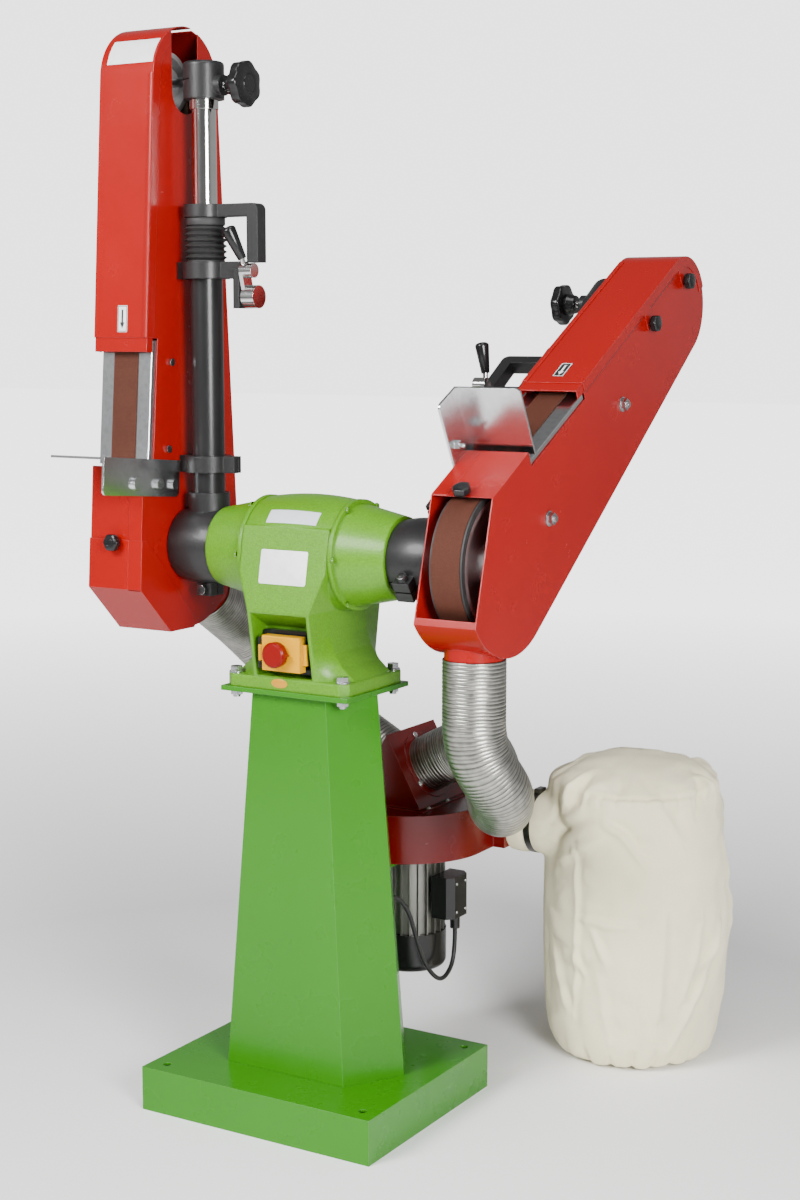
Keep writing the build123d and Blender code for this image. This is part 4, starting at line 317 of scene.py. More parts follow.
def bare_metal(name, colour, roughness, stretch, scratch):
    """Metal with drawn-out scratches along one direction."""
    finish = Finish(name)
    lines = finish.noise(120, 4, finish.mapped(stretch))
    return finish.close({
        "Base Color": finish.tones(finish.noise(14, 3), colour, 0.86, 1.06),
        "Roughness": finish.spread(lines, roughness * 0.7, roughness * 1.4),
        "Normal": finish.bump(lines, scratch, finish.soft_edges(0.0006)), "Metallic": 1.0})


def zinc_plate(name, colour, roughness):
    """Bright zinc on steel: faint crystals and a cloudy shine."""
    finish = Finish(name)
    return finish.close({
        "Base Color": finish.tones(finish.cells(110), colour, 0.93, 1.04, 0.1),
        "Roughness": finish.spread(finish.noise(24, 4), roughness * 0.85, roughness * 1.2),
        "Normal": finish.bump(finish.noise(300, 3), 0.00001, finish.soft_edges(0.0005)), "Metallic": 1.0})


def turned_metal(name, colour, roughness):
    """Machined metal with tool marks in rings about the motor's axis."""
    finish = Finish(name)
    _, y, z = finish.split()
    marks = finish.wave(finish.reach(y, finish.math("SUBTRACT", z, AXIS_Z)), 9000.0)
    return finish.close({
        "Base Color": finish.tones(finish.noise(25, 4), colour, 0.8, 1.0),
        "Roughness": finish.spread(marks, roughness * 0.8, roughness * 1.3, -1.0, 1.0),
        "Normal": finish.bump(marks, 0.00002, finish.soft_edges(0.0006)), "Metallic": 1.0})


def moulded_plastic(name, colour, roughness, shine=0.38):
    """Moulded plastic: a fine eroded grain and soft edges."""
    finish = Finish(name)
    return finish.close({
        "Base Color": finish.tones(finish.noise(6, 3), colour, 0.88, 1.1),
        "Roughness": finish.spread(finish.noise(70, 3), roughness - 0.06, roughness + 0.08),
        "Normal": finish.bump(finish.noise(1400, 2), 0.00003, finish.soft_edges(0.0009)),
        "Specular IOR Level": shine})


def rubber(name, colour):
    """Dull rubber with a bloom of dust."""
    finish = Finish(name)
    bloom = finish.noise(22, 4)
    return finish.close({
        "Base Color": finish.tones(bloom, colour, 1.0, 2.4, 0.35, 0.8),
        "Roughness": finish.spread(bloom, 0.5, 0.75),
        "Normal": finish.bump(finish.noise(600, 3), 0.00008, finish.soft_edges(0.0008))})


def grit(name, colour):
    """Coated abrasive: close dark and pale grains in a resin."""
    finish = Finish(name)
    grains = finish.cells(1500)
    tone = finish.ramp(grains, [(0.12, shade(colour, 0.45)), (0.4, colour), (0.8, shade(colour, 1.9))])
    return finish.close({
        "Base Color": finish.mixed(finish.spread(finish.noise(30, 3), 0.0, 0.5), tone, shade(colour, 0.72)),
        "Roughness": finish.spread(grains, 0.9, 0.6),
        "Normal": finish.bump(grains, 0.0003), "Specular IOR Level": 0.2})


def backing_cloth(name, colour):
    """Cloth backing on the inside of a belt."""
    finish = Finish(name)
    threads = finish.noise(900, 3, finish.mapped((1.0, 0.12, 0.12)))
    return finish.close({
        "Base Color": finish.tones(threads, colour, 0.7, 1.2), "Roughness": 0.85,
        "Normal": finish.bump(threads, 0.0002)})


def winding(name, colour):
    """Varnished copper wire."""
    finish = Finish(name)
    wires = finish.noise(240, 3, finish.mapped((3.0, 0.4, 0.4)))
    return finish.close({
        "Base Color": finish.tones(wires, colour, 0.5, 1.2), "Roughness": finish.spread(wires, 0.3, 0.5),
        "Normal": finish.bump(wires, 0.0006), "Metallic": 0.6})


def hose_foil(name):
    """Creased aluminium foil, darkened between the ribs as painted shade."""
    finish = Finish(name)
    rib = finish.split(finish.attribute("rib"))[0]
    crease = finish.noise(70, 4)
    bright = finish.ramp(crease, [(0.25, (0.24, 0.24, 0.22)), (0.75, (0.42, 0.41, 0.375))])
    dents = finish.bump(finish.noise(34, 2), 0.0004)
    return finish.close({
        # Near-black between the ribs: painted shade in the grooves
        "Base Color": finish.mixed(finish.spread(rib, 0.95, 0.0, 0.2, 0.8), bright, (0.06, 0.058, 0.052)),
        "Roughness": finish.spread(crease, 0.3, 0.42),
        "Normal": finish.bump(finish.noise(160, 3), 0.00012, dents), "Metallic": 1.0})


def canvas(name, colour):
    """Unbleached cotton: a plain weave that follows the bag, faint stains and a soft sheen."""
    finish = Finish(name)
    place = finish.attribute("sewn_place")
    x, y, z = finish.split(place)
    angle = finish.math("ARCTAN2", finish.math("SUBTRACT", y, BAG_Y), finish.math("SUBTRACT", x, BAG_X))
    threads = [finish.wave(part, 5200.0) for part in (x, y, z)]
    side = finish.math("MULTIPLY", finish.wave(angle, 832.0), threads[2])
    lid = finish.math("MULTIPLY", threads[0], threads[1])
    on_lid = finish.math("ADD", finish.math("GREATER_THAN", z, 0.505), finish.math("LESS_THAN", z, 0.012))
    weave = finish.math("ADD", side, finish.math("MULTIPLY", on_lid, finish.math("SUBTRACT", lid, side)))
    cloud = finish.noise(5, 4, place)
    stain = finish.spread(finish.noise(17, 5, place), 0.0, 0.5, 0.6, 0.82)
    soiled = finish.mixed(stain, finish.tones(cloud, colour, 0.93, 1.04), shade(colour, 0.74))
    creased = finish.bump(finish.noise(26, 5, place), 0.0011)
    return finish.close({
        "Base Color": finish.mixed(finish.spread(weave, 0.0, 0.14, 1.0, -1.0), soiled, shade(colour, 0.75)),
        "Roughness": finish.spread(cloud, 0.82, 0.95), "Normal": finish.bump(weave, 0.00022, creased),
        "Sheen Weight": 0.25, "Sheen Roughness": 0.5})


def blank_plate(name, colour):
    """Bare printed plate: even satin with faint handling marks."""
    finish = Finish(name)
    marks = finish.noise(70, 5)
    return finish.close({
        "Base Color": finish.tones(marks, colour, 0.94, 1.03), "Roughness": finish.spread(marks, 0.25, 0.45),
        "Normal": finish.bump(finish.noise(400, 2), 0.00002)})


def studio_floor(name, colour, backdrop):
    """Pale floor with a hardly visible mottle, that brightens to the backdrop far from the machine."""
    finish = Finish(name)
    mottle = finish.noise(3, 4)
    far = finish.spread(finish.reach(*finish.split()[:2]), 0.0, 1.0, 1.2, 6.0)
    seen = finish.add("ShaderNodeLightPath").outputs["Is Camera Ray"]
    return finish.close({
        "Base Color": finish.tones(mottle, colour, 0.985, 1.0), "Roughness": finish.spread(mottle, 0.6, 0.7),
        "Specular IOR Level": 0.2, "Emission Color": WHITE,
        "Emission Strength": finish.math("MULTIPLY", seen, finish.math("MULTIPLY", far, backdrop))})


FINISHES = {}


def make_finishes(colours):
    """All finishes, by the slot that they belong to."""
    FINISHES.update({
        "green_sheet": sheet_paint("Stand powder coat", colours.green_sheet, 0.28),
        "green_casting": cast_paint("Motor casting paint", colours.green_casting, 0.36, 0.0004, 0.006),
        "red_sheet": sheet_paint("Housing paint", colours.red_sheet, 0.25),
        # The fan's red is the housing red darkened to 0.4: painted shade
        "fan_shaded_red": sheet_paint("Fan paint", shade(colours.red_sheet, 0.4), 0.25),
        "band": bare_metal("Dark band", (0.13, 0.125, 0.12), 0.3, EVEN, 0.00002),
        "black_casting": cast_paint("Black casting", colours.black_casting, 0.42, 0.00018, 0.003),
        "black_tube": sheet_paint("Black tube", colours.black_casting, 0.3),
        "chrome": bare_metal("Chromed steel", (0.6, 0.6, 0.58), 0.09, (0.4, 6.0, 6.0), 0.000008),
        "polished": bare_metal("Polished steel", (0.7, 0.7, 0.69), 0.13, EVEN, 0.00002),
        "fan_casting": bare_metal("Die-cast fan motor", (0.22, 0.22, 0.2), 0.42, EVEN, 0.0001),
        "zinc_steel": zinc_plate("Zinc plate", (0.66, 0.67, 0.68), 0.2),
        "bolts": zinc_plate("Zinc bolts", (0.5, 0.51, 0.52), 0.26),
        "steel": turned_metal("Turned steel", (0.52, 0.52, 0.53), 0.28),
        "aluminium": bare_metal("Cast aluminium", (0.6, 0.6, 0.6), 0.45, EVEN, 0.00015),
        "windings": winding("Varnished winding", (0.45, 0.2, 0.09)),
        "rubber": rubber("Black rubber", (0.014, 0.014, 0.014)),
        "abrasive": grit("Abrasive grit", colours.abrasive),
        "backing": backing_cloth("Belt backing", (0.3, 0.2, 0.13)),
        "black_plastic": moulded_plastic("Black moulding", colours.black_plastic, 0.2),
        "yellow_plastic": moulded_plastic("Yellow moulding", colours.yellow_plastic, 0.3, 0.15),
        "red_plastic": moulded_plastic("Red moulding", colours.red_plastic, 0.32, 0.2),
        "green_plastic": moulded_plastic("Green moulding", colours.green_plastic, 0.32),
        "cloth": canvas("Bag canvas", colours.cloth),
        "cable": moulded_plastic("Cable sheath", (0.013, 0.013, 0.014), 0.45),
        "hose": hose_foil("Hose foil"),
        "plate": blank_plate("Bare plate", colours.plate),
        "strip": blank_plate("Grey strip", (0.6, 0.62, 0.66)),
        "sticker": blank_plate("Yellow sticker", colours.sticker),
        # Black for the printed arrows, and for the painted shadow line under the cover flanges
        "ink": blank_plate("Black print", (0.015, 0.015, 0.016)),
    })


# Mesh helpers

def settle(vertices, faces, name, finish, body=None, slot=None, place=None):
    """Piece from vertices and faces: placed in its mesh, merged, turned outward and shaded smooth."""
    mesh = bpy.data.meshes.new(name)
    mesh.from_pydata([place @ Vector(v) for v in vertices] if place else vertices, [], faces)
    shape = bmesh.new()
    shape.from_mesh(mesh)
    bmesh.ops.remove_doubles(shape, verts=shape.verts, dist=1e-6)
    bmesh.ops.recalc_face_normals(shape, faces=shape.faces)
    shape.to_mesh(mesh)
    shape.free()
    piece = bpy.data.objects.new(name, mesh)
    bpy.context.scene.collection.objects.link(piece)
    mesh.materials.append(FINISHES[finish])
    shade_by_angle(mesh)
    if body:
        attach(piece, body)
    return piece


def shade_by_angle(mesh):
    """Smooth faces with sharp edges where they meet steeply."""
    shape = bmesh.new()
    shape.from_mesh(mesh)
    for face in shape.faces:
        face.smooth = True
    for edge in shape.edges:
        edge.smooth = len(edge.link_faces) == 2 and edge.calc_face_angle(0.0) < radians(38)
    shape.to_mesh(mesh)
    shape.free()


def clamped(value):
    """Value held between 0 and 1."""
    return max(0.0, min(1.0, value))


def prism(rings):
    """Vertices and faces of a closed body through rings of equally many points."""
    count = len(rings[0])
    vertices = [point for ring in rings for point in ring]
    last = len(vertices) - count
    faces = [tuple(range(count)), tuple(range(last, last + count))]
    for base in range(0, last, count):
        for step in range(count):
            after = (step + 1) % count
            faces.append((base + step, base + after, base + count + after, base + count + step))
    return vertices, faces


def joined(*bodies):
    """Vertices and faces of several bodies as one."""
    vertices, faces = [], []
    for more, rings in bodies:
        base = len(vertices)
        vertices += more
        faces += [tuple(base + index for index in ring) for ring in rings]
    return vertices, faces


def nurbs(name, points, order, resolution):
    """Curve object that is led by some points."""
    curve = bpy.data.curves.new(name, "CURVE")
    curve.dimensions = "3D"
    curve.resolution_u = resolution
    spline = curve.splines.new("NURBS")
    spline.points.add(len(points) - 1)
    for point, place in zip(spline.points, points):
        point.co = (*place, 1.0)
    spline.order_u = order
    spline.use_endpoint_u = True
    guide = bpy.data.objects.new(name, curve)
    bpy.context.scene.collection.objects.link(guide)
    return guide


def result_mesh(piece):
    """New mesh of a piece as its modifiers or its curve make it."""
    graph = bpy.context.evaluated_depsgraph_get()
    return bpy.data.meshes.new_from_object(piece.evaluated_get(graph), preserve_all_data_layers=True, depsgraph=graph)


def lathe(profile, steps, lobed=None):
    """Vertices and faces of a profile (radius, height) turned about Z; lobed may change the radius by angle."""
    vertices = []
    rings = []
    for radius, height in profile:
        if radius < 1e-7:
            rings.append([len(vertices)])
            vertices.append((0.0, 0.0, height))
            continue
        rings.append(list(range(len(vertices), len(vertices) + steps)))
        for step in range(steps):
            angle = tau * step / steps
            reach = lobed(angle, radius) if lobed else radius
            vertices.append((reach * cos(angle), reach * sin(angle), height))
    faces = []
    for low, high in zip(rings, rings[1:]):
        for step in range(steps):
            after = (step + 1) % steps
            if len(low) == 1 and len(high) > 1:
                faces.append((low[0], high[step], high[after]))
            elif len(high) == 1 and len(low) > 1:
                faces.append((low[step], low[after], high[0]))
            elif len(low) > 1:
                faces.append((low[step], low[after], high[after], high[step]))
    return vertices, faces


def round_corner(centre, radius, start, end, steps):
    """Points of an arc for a profile, in degrees from the radius axis."""
    turns = [radians(start + (end - start) * step / steps) for step in range(steps + 1)]
    return [(centre[0] + radius * cos(turn), centre[1] + radius * sin(turn)) for turn in turns]


def toward(origin, way):
    """Matrix that takes Z to a way and the origin to a place."""
    return Matrix.Translation(origin) @ Vector(way).to_track_quat("Z", "Y").to_matrix().to_4x4()


def arm(side):
    """Matrix from an upright right-hand arm, with the spindle at its origin, to its place."""
    lift = Matrix.Translation((0, 0, AXIS_Z))
    if side == "left":
        return lift @ Matrix.Diagonal((-1, 1, 1, 1))
    return lift @ Matrix.Rotation(-RIGHT_LEAN, 4, "X")


def front_face(u, proud):
    """Point (v, u) at a height over the housing's front flank, and the way square to it."""
    way = FRONT_TOP - FRONT_LOW
    point = FRONT_LOW + way * ((u - FRONT_LOW.y) / way.y)
    normal = Vector((way.y, -way.x)).normalized()
    return point + normal * proud, normal


class Tree(Nodes):
    """A Geometry Nodes tree under construction."""

    def __init__(self, name, inputs):
        super().__init__(bpy.data.node_groups.new(name, "GeometryNodeTree"))
        face = self.tree.interface
        for label, kind in {"Geometry": "Geometry", **inputs}.items():
            face.new_socket(label, in_out="INPUT", socket_type=f"NodeSocket{kind}")
        face.new_socket("Geometry", in_out="OUTPUT", socket_type="NodeSocketGeometry")
        self.given = self.add("NodeGroupInput").outputs

    def close(self, geometry):
        """End in realized instances with the given material."""
        real = self.add("GeometryNodeRealizeInstances", {0: geometry}).outputs[0]
        feeds = {"Geometry": real, "Material": self.given["Material"]}
        self.add("NodeGroupOutput", {0: self.add("GeometryNodeSetMaterial", feeds).outputs[0]})

    def grow(self, name, points, edges, values, facing=()):
        """Run the tree on a mesh of points, and return the result as a plain mesh object."""
        mesh = bpy.data.meshes.new(name)
        mesh.from_pydata(points, edges, [])
        if facing:
            layer = mesh.attributes.new("facing", "FLOAT_VECTOR", "POINT")
            layer.data.foreach_set("vector", [part for way in facing for part in way])
        seed = bpy.data.objects.new(name + "_seed", mesh)
        bpy.context.scene.collection.objects.link(seed)
        modifier = seed.modifiers.new("Build", "NODES")
        modifier.node_group = self.tree
        for socket in self.tree.interface.items_tree:
            if socket.in_out == "INPUT" and socket.name in values:
                modifier[socket.identifier] = values[socket.name]
        result = result_mesh(seed)
        seed.modifiers.clear()
        bpy.data.objects.remove(seed)
        bpy.data.meshes.remove(mesh)
        result.name = name
        piece = bpy.data.objects.new(name, result)
        bpy.context.scene.collection.objects.link(piece)
        return piece


def ribbed_tube_tree():
    """Tube with round ribs along a path: radius, rib height, pitch and the sides of its section."""
    tree = Tree("Ribbed tube", {
        "Radius": "Float", "Rib height": "Float", "Rib pitch": "Float", "Rings per rib": "Int", "Sides": "Int",
        "Wander": "Float", "Material": "Material"})
    given = tree.given
    path = tree.add("GeometryNodeMeshToCurve", {"Mesh": given["Geometry"]}).outputs[0]
    step = tree.math("DIVIDE", given["Rib pitch"], given["Rings per rib"])
    even = tree.add("GeometryNodeResampleCurve", {"Curve": path, "Length": step}, mode="LENGTH").outputs[0]
    along = tree.add("GeometryNodeSplineParameter").outputs["Length"]
    wobble = tree.add("ShaderNodeTexNoise", {"W": along, "Scale": 45.0, "Detail": 1.0}, noise_dimensions="1D")
    sway = tree.math("MULTIPLY", tree.math("SUBTRACT", wobble.outputs[0], 0.5), given["Wander"])
    turn = tree.math("MULTIPLY", tree.math("ADD", tree.math("DIVIDE", along, given["Rib pitch"]), sway), pi)
    wave = tree.math("POWER", tree.math("ABSOLUTE", tree.math("SINE", turn)), 0.5)
    stored = tree.add("GeometryNodeStoreNamedAttribute", {"Geometry": even, "Name": "rib", "Value": wave},
                      data_type="FLOAT", domain="POINT").outputs[0]
    reach = tree.math("ADD", given["Radius"], tree.math("MULTIPLY", given["Rib height"], wave))
    ring = tree.add("GeometryNodeCurvePrimitiveCircle", {"Resolution": given["Sides"], "Radius": 1.0}).outputs[0]
    skin = tree.add("GeometryNodeCurveToMesh", {"Curve": stored, "Profile Curve": ring, "Scale": reach}).outputs[0]
    tree.close(tree.add("GeometryNodeSetShadeSmooth", {0: skin}).outputs[0])
    return tree


def fastener_tree(name, sides, socketed):
    """Heads set on points that face along a stored vector: radius, height and a washer."""
    tree = Tree(name, {"Radius": "Float", "Height": "Float", "Washer": "Float", "Material": "Material"})
    radius, height, washer = (tree.given[label] for label in ("Radius", "Height", "Washer"))
    barrel = tree.math("MULTIPLY", height, 0.7)
    join = tree.add("GeometryNodeJoinGeometry")

    def cone(corners, bottom, top, depth, lift):
        feeds = {"Vertices": corners, "Radius Top": top, "Radius Bottom": bottom, "Depth": depth}
        made = tree.add("GeometryNodeMeshCone", feeds).outputs[0]
        offset = tree.add("ShaderNodeCombineXYZ", {2: lift}).outputs[0]
        moved = tree.add("GeometryNodeTransform", {"Geometry": made, "Translation": offset}).outputs[0]
        tree.supply(join.inputs[0], moved)

    cone(sides, radius, radius, barrel, 0.0)
    cone(sides, radius, tree.math("MULTIPLY", radius, 0.86), tree.math("SUBTRACT", height, barrel), barrel)
    cone(24, washer, washer, 0.0009, 0.0)
    if socketed:
        rim, neck = (tree.math("MULTIPLY", radius, share) for share in (0.72, 0.5))
        cone(6, rim, neck, tree.math("MULTIPLY", height, 0.15), height)
    facing = tree.add("GeometryNodeInputNamedAttribute", {"Name": "facing"}, data_type="FLOAT_VECTOR").outputs[0]
    turned = tree.add("FunctionNodeAlignRotationToVector", {"Vector": facing}, axis="Z").outputs[0]
    points = tree.add("GeometryNodeMeshToPoints", {"Mesh": tree.given["Geometry"]}).outputs[0]
    heads = tree.add("GeometryNodeInstanceOnPoints", {
        "Points": points, "Instance": join.outputs[0], "Rotation": turned}).outputs[0]
    tree.close(heads)
    return tree


# Pieces

class SanderOperator(bpy.types.Operator):
    """Base of the operators, with the settings at hand."""

    bl_options = {"REGISTER", "UNDO"}

    @property
    def colours(self):
        return bpy.context.scene.sander_colours

    @property
    def soft(self):
        return bpy.context.scene.sander_soft_parts

    @property
    def small(self):
        return bpy.context.scene.sander_small_parts

    @property
    def stage(self):
        return bpy.context.scene.sander_stage


class SANDER_OT_stage(SanderOperator):
    """Set up the floor, the soft light and the camera."""

    bl_idname = "sander.stage"
    bl_label = "Stage"

    # Lights by name: place, aim and size
    lights = {
        "key": ((-1.1, -3.3, 3.1), (0.0, 0.0, 0.9), 1.9),
        "fill": ((2.9, -1.9, 1.6), (0.3, 0.25, 0.75), 1.4),
        "top": ((0.9, -0.8, 4.0), (0.1, 0.1, 0.9), 1.8),
    }
    camera_place = (1.792, -2.696, 1.308)
    camera_turn = (radians(82.14), 0.0, radians(31.11))
    toward_room = (0.51, -0.85, 0.12)

    def execute(self, context):
        make_finishes(self.colours)
        half = self.stage.floor_size / 2
        mesh = bpy.data.meshes.new("floor")
        mesh.from_pydata([(-half, -half, 0), (half, -half, 0), (half, half, 0), (-half, half, 0)], [], [(0, 1, 2, 3)])
        mesh.materials.append(studio_floor("Studio floor", self.stage.floor_colour, self.stage.backdrop))
        floor = bpy.data.objects.new("floor", mesh)
        context.scene.collection.objects.link(floor)
        for name, spot in self.lights.items():
            self.light(f"{name}_light", *spot, getattr(self.stage, f"{name}_power"))
        context.scene.world = self.studio_world()
        lens = bpy.data.cameras.new("camera")
        lens.lens = self.stage.lens
        lens.sensor_width = 36.0
        lens.clip_end = 100.0
        camera = bpy.data.objects.new("camera", lens)
        camera.location = self.camera_place
        camera.rotation_euler = self.camera_turn
        context.scene.collection.objects.link(camera)
        context.scene.camera = camera
        return {"FINISHED"}

    def studio_world(self):
        """Light from all round: bright walls, a dim ceiling and the dark room behind the camera."""
        world = bpy.data.worlds.new("Studio")
        world.use_nodes = True
        nodes = Nodes(world.node_tree)
        way = nodes.add("ShaderNodeTexCoord").outputs["Generated"]
        rise = nodes.add("ShaderNodeSeparateXYZ", {0: way}).outputs["Z"]
        behind = nodes.add("ShaderNodeVectorMath", {0: way, 1: self.toward_room}, operation="DOT_PRODUCT")
        dimmed = nodes.math("MULTIPLY", self.fade(nodes, rise, 0.15, 0.75),
                            self.fade(nodes, behind.outputs["Value"], 0.2, 0.85))
        sky = world.node_tree.nodes["Background"]
        nodes.supply(sky.inputs["Color"], dimmed)
        nodes.supply(sky.inputs["Strength"], self.stage.sky_strength)
        backdrop = nodes.add("ShaderNodeBackground", {"Color": WHITE, "Strength": self.stage.backdrop}).outputs[0]
        seen = nodes.add("ShaderNodeLightPath").outputs["Is Camera Ray"]
        both = nodes.add("ShaderNodeMixShader", {0: seen, 1: sky.outputs[0], 2: backdrop}).outputs[0]
        nodes.supply(world.node_tree.nodes["World Output"].inputs["Surface"], both)
        return world

    def fade(self, nodes, value, start, end):
        """Brightness that falls smoothly to its least between two values."""
        feeds = {0: value, 1: start, 2: end, 3: 1.0, 4: 0.4}
        return nodes.add("ShaderNodeMapRange", feeds, interpolation_type="SMOOTHSTEP").outputs[0]

    def light(self, name, place, aim, size, power):
        """Round lamp at a place, turned to its aim."""
        lamp = bpy.data.lights.new(name, "AREA")
        lamp.shape = "DISK"
        lamp.size = size
        lamp.energy = power
        light = bpy.data.objects.new(name, lamp)
        light.location = place
        light.rotation_euler = (Vector(aim) - Vector(place)).to_track_quat("-Z", "Y").to_euler()
        bpy.context.scene.collection.objects.link(light)


class SANDER_OT_fan_cable(SanderOperator):
    """Hang the cable of the fan motor from its gland to the grommet in the column."""

    bl_idname = "sander.fan_cable"
    bl_label = "Fan cable"

    mouth = Vector((0.094, FAN_Y, 0.234))
    grommet = Vector((0.07, 0.104, 0.335))

    # Steps of the route, from the gland's mouth and from the grommet
    from_mouth = ((0, 0, 0), (0, 0, -0.034), (0.003, -0.016, -0.068), (0.004, -0.052, -0.084),
                  (0.002, -0.086, -0.064), (-0.003, -0.114, -0.024))
    from_grommet = ((0.016, 0.076, -0.076), (0.01, 0.066, -0.035), (0, 0.036, 0), (0, 0, 0))

    def execute(self, context):
        route = [self.mouth + Vector(step) for step in self.from_mouth]
        route += [self.grommet + Vector(step) for step in self.from_grommet]
        cable = nurbs("fan_cable_run", route, 3, 14)
        cable.data.bevel_depth = 0.004
        cable.data.bevel_resolution = 5
        cable.data.materials.append(FINISHES["cable"])
        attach(cable, "stand")
        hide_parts("fan_cable")
        tuple(self.mouth)
        return {"FINISHED"}


class SANDER_OT_metalwork(SanderOperator):
    """Give the sheet metal, castings, wheels and mouldings their finishes."""

    bl_idname = "sander.metalwork"
    bl_label = "Paint and plating"

    # Nodes whose finish is a shade off that of their slot; the fan's darker red is painted shade
    special = {"fan_motor": "fan_casting", "fan_scroll": "fan_shaded_red", "fan_inlet_box": "fan_shaded_red", "bag_clamp": "band",
               "left_tension_lever": "polished", "right_tension_lever": "polished",
               "stand_fasteners": "bolts", "left_arm_fasteners": "bolts", "right_arm_fasteners": "bolts"}

    def execute(self, context):
        for subpart in frame["record"]["subparts"]:
            name = subpart["node"]
            node = frame["nodes"][name]
            node.data.materials.clear()
            node.data.materials.append(FINISHES[self.special.get(name, subpart["material_slot"])])
        return {"FINISHED"}


class SANDER_OT_hoses(SanderOperator):
    """Make the two ribbed dust hoses between the arms and the fan."""

    bl_idname = "sander.hoses"
    bl_label = "Hoses"

    arm_straight = 0.1
    held = 0.06
    collar_sheet = 0.0023

    # Spigots on the arms: place and way out
    right_spigot = (Vector((BELT_X, -0.0217, 0.794)), Vector((0, 0, -1)))
    left_spigot = (Vector((-BELT_X, 0.121596, 0.838805)), Vector((0.0, 0.843391, -0.5373)))

    # Points that pull the right hose's bend, from its ends
    right_pulls = ((0.104, 0.1317, -0.048), (0.15, -0.32, -0.21))

    def execute(self, context):
        tree = ribbed_tube_tree()
        seat = COLLAR_SEAT + COLLAR_WAY * self.collar_sheet
        mirror = Matrix.Diagonal((-1, 1, 1))
        self.hose(tree, "right", *self.right_spigot, seat, COLLAR_WAY,
                  fan_straight=0.055, lead=0.165, tail=0.2, pulls=self.right_pulls)
        self.hose(tree, "left", *self.left_spigot, mirror @ seat, mirror @ COLLAR_WAY,
                  fan_straight=0.1, lead=0.11, tail=0.11)
        return {"FINISHED"}

    def hose(self, tree, side, start, way_out, end, way_in, fan_straight, lead, tail, pulls=()):
        """Hose from an arm to the fan: straight at both ends, with a bend between them."""
        first = start + way_out * self.arm_straight
        last = end + way_in * fan_straight
        pulled = [near + Vector(pull) for near, pull in zip((first, last), pulls)]
        bend = self.bend([first, first + way_out * lead, *pulled, last + way_in * tail, last])
        line = [start, *bend, end]
        edges = [(index, index + 1) for index in range(len(line) - 1)]
        hose = tree.grow(f"{side}_ribbed_hose", line, edges, {
            "Radius": self.soft.hose_radius, "Rib height": self.soft.rib_height, "Rib pitch": self.soft.rib_pitch,
            "Rings per rib": 6, "Sides": 64, "Wander": 1.3, "Material": FINISHES["hose"]})
        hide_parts(f"{side}_hose")
        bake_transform(hose)

    def bend(self, points):
        """Points along the smooth curve that a few points lead."""
        guide = nurbs("hose_bend", points, len(points), 64)
        curve = guide.data
        mesh = result_mesh(guide)
        line = [vertex.co.copy() for vertex in mesh.vertices]
        bpy.data.objects.remove(guide)
        bpy.data.curves.remove(curve)
        bpy.data.meshes.remove(mesh)
        return line


class SANDER_OT_bellows(SanderOperator):
    """Make the rubber bellows over the slide tubes."""

    bl_idname = "sander.bellows"
    bl_label = "Bellows"

    low = 0.4753
    high = 0.5477
    pleats = 6
    cuff = 0.013
    bore = 0.0206
    root = 0.0292

    def execute(self, context):
        for side in SIDES:
            place = arm(side) @ Matrix.Translation((TUBE_X, 0, 0))
            vertices, faces = lathe(self.profile(), 72)
            name = f"{side}_pleated_bellows"
            bellows = settle(vertices, faces, name, "rubber", slot="rubber", place=place)
            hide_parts(f"{side}_bellows")
            low, high = (arm(side) @ Vector((TUBE_X, 0, u)) for u in (self.low, self.high))
            tuple(low)
            tuple(high)
            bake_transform(bellows)
        return {"FINISHED"}

    def profile(self):
        """Narrow foot, sharp pleats and a plain cuff at the top."""
        root = self.root
        crest = root + self.soft.pleat_height
        flank = root + 0.3 * (crest - root)
        shoulder = crest - 0.0004
        pleat_shape = ((root, 0.04), (flank, 0.17), (shoulder, 0.46), (crest, 0.5), (shoulder, 0.54), (flank, 0.83),
                       (root, 0.96))
        top = self.high - self.cuff
        foot = self.low + 0.0025
        pitch = (top - foot) / self.pleats
        points = [(self.bore, self.low), (root + 0.002, self.low), (root + 0.002, foot - 0.0006)]
        for pleat in range(self.pleats):
            base = foot + pleat * pitch
            points += [(reach, base + pitch * share) for reach, share in pleat_shape]
        points += [(root + 0.003, top + 0.0006), (root + 0.0036, top + 0.002), (root + 0.0036, self.high - 0.001)]
        points += [(root + 0.003, self.high), (self.bore, self.high)]
        return points


